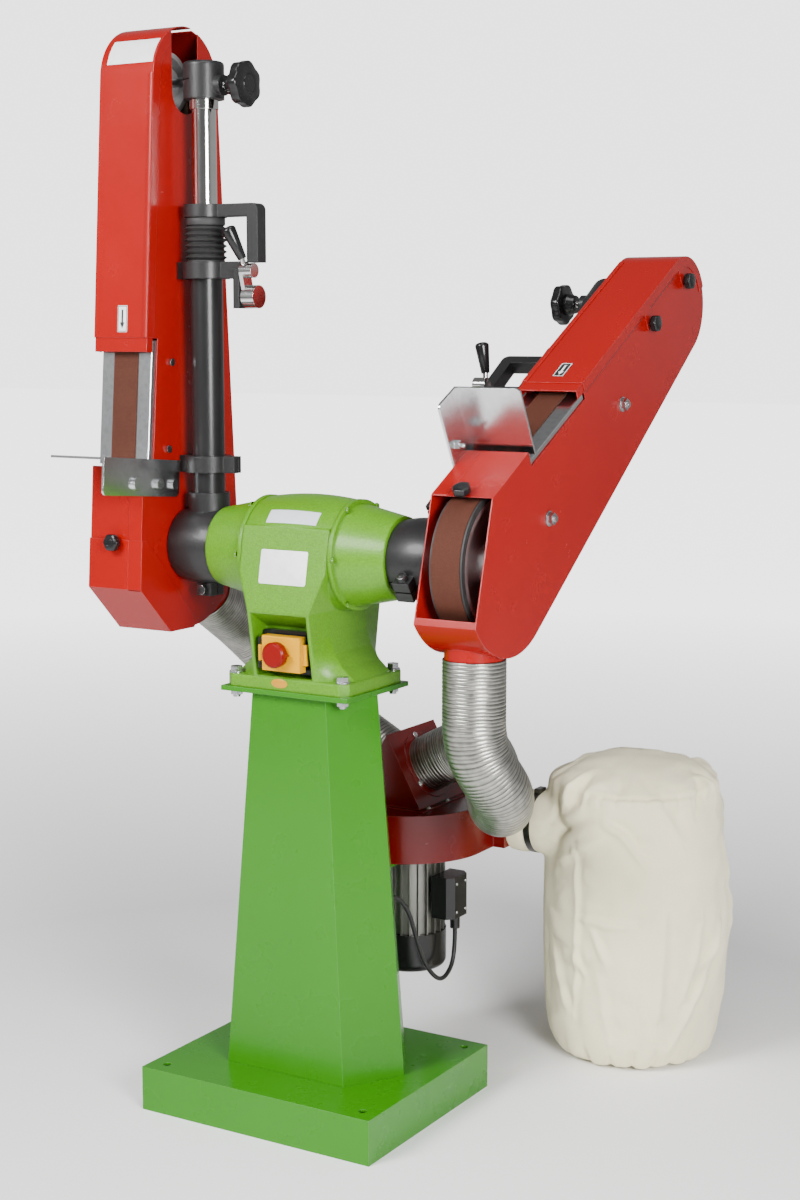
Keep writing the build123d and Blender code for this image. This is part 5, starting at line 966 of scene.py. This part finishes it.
class SANDER_OT_belts(SanderOperator):
    """Run the abrasive belts round their wheels."""

    bl_idname = "sander.belts"
    bl_label = "Abrasive belts"

    wheel = 0.1153
    idler = 0.0526
    thickness = 0.0012
    width = 0.05

    # Where the loop is split, as places in its list of points, on the back and on the front
    split = (40, 136)

    # Heights on the arm given to each length of belt; points are worked out at them but not used
    lower_reach = (0.3, 0.5)
    upper_reach = (0.53, 0.725)

    def execute(self, context):
        back, front = self.split
        count = len(self.loop(0.0))
        lower = list(range(back, front + 1))
        upper = [place % count for place in range(front, count + back + 1)]
        for side in SIDES:
            belt = self.strip(side, f"{side}_belt", lower)
            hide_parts(f"{side}_abrasive_belt")
            self.stretch(side, belt, ("arm", "slide"), self.lower_reach)
            self.stretch(side, self.strip(side, f"{side}_belt_top", upper), ("slide", "axle"), self.upper_reach)
        return {"FINISHED"}

    def stretch(self, side, belt, bodies, reach):
        """Fix a length of belt in place in its mesh; the points at the two heights are worked out but not used, and the
        bodies are not used.
        """
        low, high = (arm(side) @ Vector((BELT_X, 0, u)) for u in reach)
        tuple(low)
        tuple(high)
        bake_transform(belt)

    def strip(self, side, name, places):
        """Length of belt over some places of the loop: grit outside, cloth inside."""
        near = BELT_X - self.width / 2
        far = BELT_X + self.width / 2
        inner, outer = self.loop(0.0), self.loop(self.thickness)
        rings = [[(near, *inner[place]), (far, *inner[place]), (far, *outer[place]), (near, *outer[place])]
                 for place in places]
        belt = settle(*prism(rings), name, "abrasive", slot="abrasive", place=arm(side))
        belt.data.materials.append(FINISHES["backing"])
        hub, head = (arm(side) @ Vector((BELT_X, 0, u)) for u in (0, IDLER_U))
        for face in belt.data.polygons:
            share = clamped((face.center - hub).dot(head - hub) / (head - hub).length_squared)
            spine = hub.lerp(head, share)
            away = Vector((0.0, face.center.y - spine.y, face.center.z - spine.z))
            if abs(face.normal.x) < 0.5 and face.normal.dot(away) < 0:
                face.material_index = 1
        return belt

    def loop(self, proud):
        """Points (y, z) over the idler from front to back, down, under the contact wheel and up the front."""
        lean = asin((self.wheel - self.idler) / IDLER_U)
        over = self.arc(IDLER_U, self.idler + proud, pi - lean, 2 * lean - pi, 32)
        under = self.arc(0.0, self.wheel + proud, lean, -(pi + 2 * lean), 64)
        return over + self.run(over[-1], under[0]) + under + self.run(under[-1], over[0])

    def arc(self, centre, radius, start, sweep, steps):
        """Points on a wheel at a height."""
        turns = [start + sweep * step / steps for step in range(steps + 1)]
        return [(radius * cos(turn), centre + radius * sin(turn)) for turn in turns]

    def run(self, first, second, steps=24):
        """Points between two ends of a straight run."""
        return [tuple(a + (b - a) * step / steps for a, b in zip(first, second)) for step in range(1, steps)]


class SANDER_OT_knobs(SanderOperator):
    """Make the tracking knobs and the cover knobs."""

    bl_idname = "sander.knobs"
    bl_label = "Knobs"

    # Radius, length and number of lobes
    tracking_size = (0.038, 0.026, 7)
    cover_size = (0.015, 0.018, 6)

    # Knobs on a cover's outer side, as (v, u), and the one at the foot of its front, as u
    outer_knobs = ((0.028, 0.793), (0.043, 0.628))
    front_knob = 0.0095
    sheet = 0.0015

    hub_profile = ((0.0, 0.0), (0.0208, 0.0), (0.0178, 0.0075), (0.0164, 0.0132), (0.0158, 0.014), (0.0, 0.014))
    screw_start = (0.16, 0.0, 0.761)
    screw_length = 0.0362
    screw_turns = 23
    screw_pitch = 0.0015

    def execute(self, context):
        for side in SIDES:
            place = arm(side)
            seat = place @ toward(TRACKING_SEAT, (-1, 0, 0))
            self.star(f"{side}_tracking_star", *self.tracking_size, f"{side}_tracking", seat)
            self.hub(side, place)
            self.screw(side, place)
            guard, way = front_face(self.front_knob, self.sheet if side == "left" else 0.0)
            seats = [((OUTER_X + self.sheet, -v, u), (1, 0, 0)) for v, u in self.outer_knobs]
            seats.append(((BELT_X, -guard.x, guard.y), (0, -way.x, way.y)))
            knobs = [self.star(f"{side}_cover_star_{index}", *self.cover_size, f"{side}_arm", place @ toward(*seat))
                     for index, seat in enumerate(seats)]
            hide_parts(f"{side}_clamp_knobs")
        return {"FINISHED"}

    def star(self, name, radius, length, lobes, body, place):
        """Lobed knob: neck, rounded body and a domed face with a round cap."""
        hollow = self.small.knob_hollow * radius
        edge = length * 0.17
        neck = radius * 0.48
        foot = length * 0.22
        shoulder = length - length * 0.09
        cap = radius * 0.4
        profile = [(0.0, 0.0), (neck, 0.0), (neck, foot * 0.7)]
        profile += round_corner((radius - edge, foot + edge), edge, -90, 0, 4)
        profile += round_corner((radius - edge, shoulder - edge), edge, 0, 78, 5)
        face = ((radius * 0.6, 0.04), (cap * 1.06, 0.03), (cap, 0.045), (cap * 0.95, 0.012), (cap * 0.6, 0.0),
                (0.0, 0.0))
        profile += [(reach, length - length * share) for reach, share in face]

        def lobed(angle, reach):
            valley = 0.5 - 0.5 * cos(lobes * angle)
            return reach - 2.0 * hollow * valley * clamped((reach - neck) / (radius - neck))

        vertices, faces = lathe(profile, 24 * lobes, lobed)
        return settle(vertices, faces, name, "black_plastic", body, "black_plastic", place)

    def hub(self, side, place):
        """Tapered hub behind the tracking knob."""
        vertices, faces = lathe(self.hub_profile, 48)
        seat = place @ toward(TRACKING_SEAT, (1, 0, 0))
        settle(vertices, faces, f"{side}_tracking_hub", "black_plastic", f"{side}_tracking", "black_plastic", seat)

    def screw(self, side, place):
        """Threaded tracking screw between the knob's hub and the axle's tail."""
        profile = [(0.0, 0.0), (0.0052, 0.0)]
        for turn in range(self.screw_turns):
            profile += [(reach, 0.0008 + self.screw_pitch * (turn + share))
                        for reach, share in ((0.0058, 0.4), (0.0050, 0.95))]
        profile += [(0.0046, self.screw_length), (0.0, self.screw_length)]
        vertices, faces = lathe(profile, 28)
        seat = place @ toward(self.screw_start, (1, 0, 0))
        screw = settle(vertices, faces, f"{side}_tracking_thread", "polished", f"{side}_tracking", "zinc_steel", seat)
        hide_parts(f"{side}_tracking_knob")


class SANDER_OT_cover_rims(SanderOperator):
    """Roll the raised rims along the inner edge of the front covers, and lay a dark line of painted shadow below their
    flange.
    """

    bl_idname = "sander.cover_rims"
    bl_label = "Cover rims"

    low = 0.3505
    high = 0.779
    inner_x = 0.2586
    sheet = 0.0014

    # Corners of the dark line, a painted shadow on the housing's outer side where the flange ends, as (u, depth)
    gap = ((0.353, 0.0172), (0.353, 0.0194), (0.755, 0.0194), (0.755, 0.0172))

    def execute(self, context):
        section = self.section()
        for side in SIDES:
            rim = [[self.point(self.inner_x + across, u, self.sheet + proud) for across, proud in section]
                   for u in (self.low, self.high)]
            settle(*prism(rim), f"{side}_cover_rim", "red_sheet", f"{side}_arm", "red_sheet", arm(side))
            # Dark strip on the housing under the flange's edge: painted shadow
            line = [[self.point(x, u, -depth) for u, depth in self.gap] for x in (OUTER_X - 0.0002, OUTER_X + 0.0003)]
            settle(*prism(line), f"{side}_cover_gap", "ink", f"{side}_arm", "red_sheet", arm(side))
        return {"FINISHED"}

    def section(self):
        """Section of a rim with rounded corners, as (across, proud)."""
        wide, tall = self.small.rim_width, self.small.rim_height
        corner = tall * 0.7
        left = [(corner * (1 - cos(turn)), tall - corner * (1 - sin(turn))) for turn in (0, pi / 6, pi / 3, pi / 2)]
        right = [(wide - across, proud) for across, proud in reversed(left)]
        return [(0.0, 0.0), *left, *right, (wide, 0.0)]

    def point(self, x, u, proud):
        """Point on an upright arm at a height over its front."""
        point, _ = front_face(u, proud)
        return x, -point.x, point.y


class SANDER_OT_lever_grips(SanderOperator):
    """Pull the black grips over the tension levers."""

    bl_idname = "sander.lever_grips"
    bl_label = "Lever grips"

    # Each lever's lean and its tip's reach
    levers = {"left": (radians(15.0), 0.1475), "right": (radians(57.5), 0.1195)}
    neck = Vector((0.1275, 0.0, 0.0636))
    tip_height = 0.116

    # Profile of a grip, with heights from its neck and from its tip
    foot = ((0.0, 0.0), (0.0066, 0.0), (0.0073, 0.0008))
    head = ((0.0122, -0.0055), (0.0121, -0.004), (0.0112, -0.002), (0.0092, -0.0004), (0.006, 0.0007),
            (0.003, 0.0012), (0.0, 0.0014))

    def execute(self, context):
        for side, (lean, reach) in self.levers.items():
            way = Vector((reach, 0.0, self.tip_height)) - self.neck
            profile = [*self.foot, *((radius, way.length + height) for radius, height in self.head)]
            vertices, faces = lathe(profile, 40)
            lever = arm(side) @ Matrix.Translation((0, 0, LEVER_PIVOT_U)) @ Matrix.Rotation(lean, 4, "X")
            settle(vertices, faces, f"{side}_lever_grip", "black_plastic", f"{side}_lever", "black_plastic",
                   lever @ toward(self.neck, way))
        return {"FINISHED"}


class SANDER_OT_dust_bag(SanderOperator):
    """Sew the dust bag, crease it and let it bulge."""

    bl_idname = "sander.dust_bag"
    bl_label = "Dust bag"

    radius = 0.1625
    rim_height = 0.505
    rim_radius = 0.1545
    seam_width = 0.006
    mouth_x = 0.163
    clamp_x = 0.22
    clamp_fade = 0.035
    floor_gap = 0.0015
    frames = 16
    swell = Vector((0.0068, 0.0042, 0.0))

    # Profiles (radius, height) of the body, from the floor up, and of the neck, from the fan
    body = (
        (0.0, 0.003), (0.06, 0.003), (0.11, 0.003), (0.131, 0.0045), (0.1405, 0.011), (0.147, 0.024),
        (0.1525, 0.045), (0.157, 0.08), (0.16, 0.13), (0.1622, 0.2), (0.163, 0.27), (0.162, 0.34),
        (0.1602, 0.41), (0.158, 0.46), (0.1562, 0.488), (0.1555, 0.505), (0.1478, 0.5095), (0.135, 0.5155),
        (0.115, 0.523), (0.09, 0.532), (0.06, 0.5395), (0.03, 0.5435), (0.0, 0.545),
    )
    neck = (
        (0.0, 0.158), (0.0552, 0.158), (0.0566, 0.161), (0.0575, 0.175), (0.0572, 0.192), (0.0544, 0.2),
        (0.0538, 0.208), (0.0543, 0.2155), (0.0568, 0.222), (0.0585, 0.24), (0.058, 0.265), (0.045, 0.3),
        (0.0, 0.3),
    )

    cloth_settings = {
        "quality": 5, "mass": 0.3, "tension_stiffness": 15, "compression_stiffness": 15, "shear_stiffness": 5,
        "bending_stiffness": 0.5, "vertex_group_mass": "held", "vertex_group_shrink": "tight", "shrink_min": -0.01,
        "shrink_max": 0.05, "use_pressure": True, "uniform_pressure_force": 4.0}

    # Creases as (angle in degrees, height) from end to end, with their height and width
    creases = (
        ((-105, 0.4), (-106, 0.09), 0.0042, 0.0055),
        ((-48, 0.29), (-50, 0.11), 0.0052, 0.0075),
        ((-5, 0.26), (-41, 0.04), 0.0085, 0.0095),
        ((-22, 0.27), (-34, 0.14), 0.006, 0.008),
        ((-3, 0.255), (-27, 0.175), 0.0045, 0.007),
        ((-103, 0.276), (-62, 0.272), 0.0048, 0.006),
        ((-93, 0.258), (-84, 0.205), 0.0055, 0.0065),
        ((-74, 0.435), (-57, 0.37), 0.0058, 0.0065),
        ((-84, 0.448), (-70, 0.428), 0.005, 0.007),
        ((-50, 0.49), (-36, 0.42), 0.0045, 0.009),
        ((-107, 0.21), (-99, 0.172), 0.0045, 0.006),
        ((-127, 0.2), (-110, 0.1), 0.006, 0.008),
        ((-90, 0.462), (-122, 0.42), -0.006, 0.011),
        ((-86, 0.425), (-118, 0.375), 0.005, 0.009),
        ((-110, 0.555), (-116, 0.478), 0.0075, 0.008),
        ((-115, 0.497), (-117, 0.486), 0.003, 0.009),
        ((-102, 0.53), (-105, 0.482), -0.004, 0.007),
        ((-150, 0.54), (-148, 0.49), 0.005, 0.009),
        ((-2, 0.54), (0, 0.475), 0.008, 0.009),
        ((-11, 0.53), (-19, 0.478), -0.006, 0.007),
        ((-95, 0.488), (-24, 0.49), 0.0046, 0.0055),
        ((-70, 0.2), (-60, 0.07), 0.0045, 0.009),
        ((-88, 0.17), (-80, 0.06), 0.0045, 0.008),
        ((62, 0.45), (76, 0.1), 0.006, 0.010),
        ((118, 0.36), (100, 0.06), 0.006, 0.010),
        ((152, 0.3), (140, 0.08), 0.006, 0.010),
        ((30, 0.48), (44, 0.29), 0.005, 0.010),
        ((12, 0.4), (22, 0.2), 0.005, 0.009),
        ((-150, 0.33), (-140, 0.1), 0.006, 0.010),
        ((172, 0.34), (-170, 0.12), 0.006, 0.010),
        ((50, 0.55), (54, 0.475), 0.006, 0.009),
        ((105, 0.545), (101, 0.47), 0.006, 0.009),
        ((160, 0.54), (158, 0.48), 0.005, 0.009),
    )

    def execute(self, context):
        bag = self.remeshed(self.sewn())
        rest = [vertex.co.copy() for vertex in bag.data.vertices]
        self.crease(bag, rest)
        self.simulate(bag, rest)
        self.finish_cloth(bag, rest)
        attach(bag, "stand")
        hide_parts("dust_bag")
        return {"FINISHED"}

    def sewn(self):
        """Body and neck as one mesh of two closed shells."""
        body, body_faces = lathe(self.fine(self.body), 128)
        neck, neck_faces = lathe(self.neck, 96)
        return joined(([(BAG_X + x, BAG_Y + y, z) for x, y, z in body], body_faces),
                      ([(z, NECK_Y + x, NECK_Z + y) for x, y, z in neck], neck_faces))

    def fine(self, profile):
        """Profile with points no further apart than about a voxel."""
        points = [profile[0]]
        for point in profile[1:]:
            start = points[-1]
            count = max(1, round(hypot(point[0] - start[0], point[1] - start[1]) / 0.01))
            points += [(start[0] + (point[0] - start[0]) * step / count,
                        start[1] + (point[1] - start[1]) * step / count) for step in range(1, count + 1)]
        return points

    def remeshed(self, shells):
        """Even mesh over both shells, with the neck's end open."""
        bag = settle(*shells, "sewn_dust_bag", "cloth")
        modifier = bag.modifiers.new("Even mesh", "REMESH")
        modifier.mode = "VOXEL"
        modifier.voxel_size = self.soft.cloth_voxel
        self.bake(bag)
        shape = bmesh.new()
        shape.from_mesh(bag.data)
        for _ in range(3):
            bmesh.ops.smooth_vert(shape, verts=shape.verts, factor=0.5, use_axis_x=True, use_axis_y=True,
                                  use_axis_z=True)
        cap = [face for face in shape.faces if face.calc_center_median().x < self.mouth_x]
        bmesh.ops.delete(shape, geom=cap, context="FACES")
        shape.to_mesh(bag.data)
        shape.free()
        return bag

    def bake(self, bag):
        """Turn the piece's modifiers into its own mesh."""
        mesh = result_mesh(bag)
        bag.modifiers.clear()
        old = bag.data
        bag.data = mesh
        bpy.data.meshes.remove(old)
        mesh.name = "sewn_dust_bag"

    def free(self, place):
        """How free the cloth is, from 0 in the clamp to 1 on the body."""
        return clamped((place.x - self.clamp_x) / self.clamp_fade)

    def seam(self, place):
        """Nearness to the seam round the top, from 0 to 1."""
        reach = hypot(place.x - BAG_X, place.y - BAG_Y)
        return exp(-(hypot(reach - self.rim_radius, place.z - self.rim_height) / self.seam_width) ** 2)

    def relief(self, place):
        """Height of creases, dents and puckers at a point of the cloth."""
        reach = hypot(place.x - BAG_X, place.y - BAG_Y)
        angle = atan2(place.y - BAG_Y, place.x - BAG_X)
        height = place.z + (max(0.0, self.rim_radius - reach) if place.z > 0.3 else 0.0)
        lift = 0.003 * noise.noise(place * 27 + Vector((3, 1, 7)))
        for crease in self.creases:
            lift += self.fold(angle, height, *crease)
        if reach > 0.1:
            gather = abs(sin(angle * 11.0 + 1.5 * noise.noise(place * 6)))
            lift -= 0.006 * (1.0 - gather) ** 2 * exp(-((place.z - 0.02) / 0.02) ** 2)
            pucker = abs(sin(angle * 17.0 + 2.0 * noise.noise(place * 5)))
            lift -= 0.003 * (1.0 - pucker) ** 2 * exp(-((height - 0.492) / 0.015) ** 2)
        return lift

    def fold(self, angle, height, start, end, tall, wide):
        """Height of one crease: a ridge with a hollow along one flank, fading to its ends."""
        rise, climb = end[1] - start[1], height - start[1]
        if not min(0.0, rise) - 6.0 * wide < climb < max(0.0, rise) + 6.0 * wide:
            return 0.0
        run = remainder(radians(end[0] - start[0]), tau) * self.radius
        across = remainder(angle - radians(start[0]), tau) * self.radius
        if not min(0.0, run) - 6.0 * wide < across < max(0.0, run) + 6.0 * wide:
            return 0.0
        share = clamped((across * run + climb * rise) / (run * run + rise * rise))
        away = hypot(across - run * share, climb - rise * share)
        dip = climb * run - across * rise
        flank = abs(away - 1.8 * wide) if dip > 0 else away + 1.8 * wide
        fade = 1.0 - 0.5 * (2.0 * share - 1.0) ** 2
        return tall * fade * (exp(-(away / wide) ** 1.5) - 0.5 * exp(-(flank / (1.3 * wide)) ** 2))

    def crease(self, bag, rest):
        """Dent the sewn shape and swell it to one side, as a filled bag stands."""
        normals = [vertex.normal.copy() for vertex in bag.data.vertices]
        for vertex, normal, place in zip(bag.data.vertices, normals, rest):
            dent = 0.0055 * noise.noise(place * 8.5) + 0.6 * self.relief(place)
            swell = self.swell * exp(-((place.z - 0.26) / 0.17) ** 2)
            vertex.co = place + (normal * dent + swell) * self.free(place)
            vertex.co.z = max(self.floor_gap, vertex.co.z)

    def simulate(self, bag, rest):
        """Short cloth simulation under a little pressure, with a tight seam round the top."""
        held = bag.vertex_groups.new(name="held")
        tight = bag.vertex_groups.new(name="tight")
        for index, place in enumerate(rest):
            grip = 1.0 - self.free(place)
            if place.z < 0.012:
                grip = 1.0
            if grip > 0.0:
                held.add([index], grip, "REPLACE")
            tight.add([index], self.seam(place), "REPLACE")
        cloth = bag.modifiers.new("Cloth", "CLOTH")
        for name, value in self.cloth_settings.items():
            setattr(cloth.settings, name, value)
        cloth.settings.effector_weights.gravity = 0.0
        cloth.collision_settings.use_collision = False
        cloth.point_cache.frame_start = 1
        cloth.point_cache.frame_end = self.frames
        for number in range(1, self.frames + 1):
            bpy.context.scene.frame_set(number)
        before = [vertex.co.copy() for vertex in bag.data.vertices]
        self.bake(bag)
        bpy.context.scene.frame_set(1)
        limit = self.soft.cloth_move
        for vertex, place in zip(bag.data.vertices, before):
            move = vertex.co - place
            vertex.co = place + (move.normalized() * limit if move.length > limit else move)
            vertex.co.z = max(self.floor_gap, vertex.co.z)

    def finish_cloth(self, bag, rest):
        """Finer mesh with each point's sewn place, crisp creases, a raised seam and the neck's end turned in."""
        layer = bag.data.attributes.new("sewn_place", "FLOAT_VECTOR", "POINT")
        layer.data.foreach_set("vector", [part for place in rest for part in place])
        finer = bag.modifiers.new("Finer", "SUBSURF")
        finer.levels = 1
        finer.render_levels = 1
        self.bake(bag)
        sewn = bag.data.attributes["sewn_place"].data
        normals = [vertex.normal.copy() for vertex in bag.data.vertices]
        for vertex, normal, flat in zip(bag.data.vertices, normals, sewn):
            place = Vector(flat.vector)
            lift = 0.85 * self.relief(place) + self.soft.hem_height * self.seam(place)
            vertex.co += normal * (lift * self.free(place))
            vertex.co.z = max(0.0012, vertex.co.z)
        shape = bmesh.new()
        shape.from_mesh(bag.data)
        mouth = [edge for edge in shape.edges if edge.is_boundary]
        turned = bmesh.ops.extrude_edge_only(shape, edges=mouth)["geom"]
        axis = Vector((0, NECK_Y, NECK_Z))
        for vertex in (part for part in turned if isinstance(part, bmesh.types.BMVert)):
            spoke = Vector((0, vertex.co.y - axis.y, vertex.co.z - axis.z))
            vertex.co += Vector((0.006, 0, 0)) - spoke.normalized() * 0.0025
        bmesh.ops.recalc_face_normals(shape, faces=shape.faces)
        for face in shape.faces:
            face.smooth = True
        shape.to_mesh(bag.data)
        shape.free()
        bag.data.materials.clear()
        bag.data.materials.append(FINISHES["cloth"])


class SANDER_OT_screws(SanderOperator):
    """Set the small screws."""

    bl_idname = "sander.screws"
    bl_label = "Screws"

    pinch_seat = Vector((TUBE_X, -0.0181, -0.075))
    bell_ring = 0.0885
    bell_face = 0.092
    collar_ring = 0.0572

    def execute(self, context):
        radius = self.small.screw_radius
        height = self.small.screw_height
        caps = fastener_tree("Cap screws", 20, True)
        hexes = fastener_tree("Hexagon screws", 6, False)
        switch = [((x, -0.076, 0.785), (0, -1, 0)) for x in (0.044, -0.0455)]
        for tree, name, seats, finish, *sizes in (
                (caps, "inlet_screws", self.inlet_seats(), "zinc_steel", radius, height, radius * 1.35),
                (caps, "terminal_screws", self.terminal_seats(), "zinc_steel", 0.0028, 0.0016, 0.0028),
                (caps, "switch_screws", switch, "zinc_steel", 0.0034, 0.0018, 0.0042),
                (hexes, "bell_screws", self.bell_seats(), "green_casting", 0.0055, 0.0045, 0.0052)):
            self.set_heads(tree, name, seats, "stand", finish, *sizes)
        for side in SIDES:
            place = arm(side)
            facing = tuple(place.to_3x3() @ Vector((0, -1, 0)))
            pinch = [(tuple(place @ self.pinch_seat), facing)]
            self.set_heads(caps, f"{side}_pinch_screw", pinch, f"{side}_arm", "black_casting", 0.0084, 0.0094, 0.009)
        return {"FINISHED"}

    def set_heads(self, tree, name, seats, body, finish, radius, height, washer):
        """Screw heads on seats, each a place and the way that it faces."""
        places, ways = zip(*seats)
        heads = tree.grow(name, places, [], {
            "Radius": radius, "Height": height, "Washer": washer, "Material": FINISHES[finish]}, ways)
        shade_by_angle(heads.data)
        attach(heads, body)

    def inlet_seats(self):
        """Screws along the inlet box's flange and round both hose collars."""
        seats = []
        for side in (-1, 1):
            seats += [((side * 0.0765, y, 0.4662), (0, 0, 1)) for y in (0.243, FAN_Y, 0.377)]
            flip = Matrix.Diagonal((side, 1, 1))
            normal = flip @ COLLAR_WAY
            across = Vector((0, 1, 0))
            up = normal.cross(across)
            middle = flip @ COLLAR_SEAT + normal * 0.002
            for turn in (90, 210, 330):
                reach = across * cos(radians(turn)) + up * sin(radians(turn))
                seats.append((tuple(middle + reach * self.collar_ring), tuple(normal)))
        return seats

    def terminal_seats(self):
        """Screws at the corners of the fan motor's terminal box."""
        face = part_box("fan_motor_covers")[1].x
        return [((face, FAN_Y + y, z), (1, 0, 0)) for y in (-0.016, 0.016) for z in (0.268, 0.32)]

    def bell_seats(self):
        """Painted screws round the flange of each end bell."""
        turns = [radians(30 + 60 * index) for index in range(6)]
        return [((side * self.bell_face, self.bell_ring * sin(turn), AXIS_Z + self.bell_ring * cos(turn)), (side, 0, 0))
                for side in (-1, 1) for turn in turns]


class SANDER_OT_plates(SanderOperator):
    """Fix the bare plates, the plain sticker and the belt-direction arrows."""

    bl_idname = "sander.plates"
    bl_label = "Plates and arrows"

    film = 0.0003

    # Outline of the arrow, and the bars of its frame as middle, width and height
    arrow_outline = ((-0.0018, 0.015), (-0.0018, -0.006), (-0.0048, -0.006), (0.0, -0.016), (0.0048, -0.006),
                     (0.0018, -0.006), (0.0018, 0.015))
    frame_bars = ((0, 0.0206, 0.0185, 0.0012), (0, -0.0206, 0.0185, 0.0012),
                  (0.0087, 0, 0.0012, 0.0424), (-0.0087, 0, 0.0012, 0.0424))

    def execute(self, context):
        thick = self.small.plate_thickness
        right = Vector((1, 0, 0))
        slope = Vector((0, 0.18777, 0.98221))
        self.flat_plate("motor_plate", Vector((0.0028, -0.09535, 0.9255)), right, slope, self.oblong(0.091, 0.056),
                        thick, "plate", "stand", "green_casting")
        oval = [(0.0158 * cos(tau * step / 40), 0.0077 * sin(tau * step / 40)) for step in range(40)]
        self.flat_plate("foot_sticker", Vector((-0.0087, -0.09255, 0.7345)), right, Vector((0, 0, 1)), oval, self.film,
                        "sticker", "stand", "green_casting")
        self.bent_plate("crown_strip", (-0.042, 0.0545), (40.3, 56.0), lambda x: 0.0961 - 0.007 * (x / 0.084) ** 2,
                        Matrix.Translation((0, 0, AXIS_Z)), thick, "strip", "stand", "green_casting")
        self.bent_plate("left_top_plate", (0.262, 0.357), (45.5, 75.0), lambda x: 0.0886,
                        arm("left") @ Matrix.Translation((0, 0.012, 0.774)), thick, "plate", "left_arm", "red_sheet")
        for side, across, height in (("left", 0.311, 0.381), ("right", 0.3155, 0.3915)):
            self.belt_arrow(side, across, height)
        return {"FINISHED"}

    def oblong(self, width, height):
        """Outline with rounded corners."""
        corner = min(width, height) * 0.06
        ring = []
        for x, y, start in ((1, 1, 0), (-1, 1, 90), (-1, -1, 180), (1, -1, 270)):
            centre = (x * (width / 2 - corner), y * (height / 2 - corner))
            ring += round_corner(centre, corner, start, start + 90, 4)
        return ring

    def flat_plate(self, name, middle, across, up, ring, thick, finish, body, slot):
        """Thin plate of the given outline, lying on a face, with a chamfered edge."""
        out = across.cross(up)
        rings = [[middle + across * (x * share) + up * (y * share) + out * lift for x, y in ring]
                 for lift, share in ((0.0, 1.0), (thick * 0.7, 1.0), (thick, 0.985))]
        settle(*prism(rings), name, finish, body, slot)

    def bent_plate(self, name, ends, turns, reach, place, thick, finish, body, slot):
        """Thin plate bent round an axis along X, between two angles from up to the front."""
        rows, columns = 10, 13
        across = [ends[0] + (ends[1] - ends[0]) * column / (columns - 1) for column in range(columns)]
        outline = [(x, reach(x)) for x in across] + [(x, reach(x) + thick) for x in reversed(across)]
        rings = []
        for row in range(rows):
            turn = radians(turns[0] + (turns[1] - turns[0]) * row / (rows - 1))
            rings.append([(x, -radius * sin(turn), radius * cos(turn)) for x, radius in outline])
        settle(*prism(rings), name, finish, body, slot, place)

    def belt_arrow(self, side, across, height):
        """Field on the cover with a framed arrow that points the way the belt runs."""
        point, _ = front_face(height, 0.0016)
        run = (FRONT_TOP - FRONT_LOW).normalized()
        mirrored = -1 if side == "left" else 1
        turn = arm(side).to_3x3()
        right = turn @ Vector((mirrored, 0, 0))
        up = turn @ Vector((0, -run.x, run.y))
        seat = arm(side) @ Vector((across, -point.x, point.y))
        body = f"{side}_arm"
        field, mark = ("plate", "ink") if side == "left" else ("ink", "plate")
        self.flat_plate(f"{side}_arrow_field", seat, right, up, self.oblong(0.02, 0.044), self.film, field, body,
                        "red_sheet")
        self.arrow(f"{side}_belt_arrow", seat + right.cross(up) * self.film, right, up, mark, body)

    def arrow(self, name, middle, across, up, finish, body):
        """Printed arrow in a thin frame."""
        out = across.cross(up)
        outlines = [self.arrow_outline]
        for x, y, w, h in self.frame_bars:
            outlines.append([(x - w / 2, y - h / 2), (x + w / 2, y - h / 2), (x + w / 2, y + h / 2),
                             (x - w / 2, y + h / 2)])
        bodies = [prism([[middle + across * x + up * y + out * lift for x, y in outline]
                         for lift in (0.0, self.film / 2)]) for outline in outlines]
        settle(*joined(*bodies), name, finish, body, "red_sheet")


class SANDER_PT_panel(bpy.types.Panel):
    """Lists the steps that build the machine."""

    bl_idname = "SANDER_PT_panel"
    bl_label = "Belt sander"
    bl_space_type = "VIEW_3D"
    bl_region_type = "UI"
    bl_category = "Belt sander"

    def draw(self, context):
        for group in GROUPS:
            settings = getattr(context.scene, group)
            column = self.layout.column(align=True)
            for name in settings.bl_rna.properties.keys():
                if name not in ("rna_type", "name"):
                    column.prop(settings, name)
        for step in STEPS:
            self.layout.operator(step.bl_idname)


STEPS = (
    SANDER_OT_stage,
    SANDER_OT_fan_cable,
    SANDER_OT_metalwork,
    SANDER_OT_hoses,
    SANDER_OT_bellows,
    SANDER_OT_belts,
    SANDER_OT_knobs,
    SANDER_OT_cover_rims,
    SANDER_OT_lever_grips,
    SANDER_OT_dust_bag,
    SANDER_OT_screws,
    SANDER_OT_plates,
)
GROUPS = {
    "sander_colours": SanderColours,
    "sander_soft_parts": SanderSoftParts,
    "sander_small_parts": SanderSmallParts,
    "sander_stage": SanderStage,
}


def register():
    """Register the settings, the steps and the panel."""
    for name, group in GROUPS.items():
        bpy.utils.register_class(group)
        setattr(bpy.types.Scene, name, bpy.props.PointerProperty(type=group))
    for step in STEPS:
        bpy.utils.register_class(step)
    bpy.utils.register_class(SANDER_PT_panel)


def unregister():
    """Take the panel, the steps and the settings away again."""
    bpy.utils.unregister_class(SANDER_PT_panel)
    for step in reversed(STEPS):
        bpy.utils.unregister_class(step)
    for name, group in reversed(GROUPS.items()):
        delattr(bpy.types.Scene, name)
        bpy.utils.unregister_class(group)


def main():
    """Build the whole machine."""
    register()
    for step in STEPS:
        space, name = step.bl_idname.split(".")
        getattr(getattr(bpy.ops, space), name)()


if __name__ == "__main__":
    main()
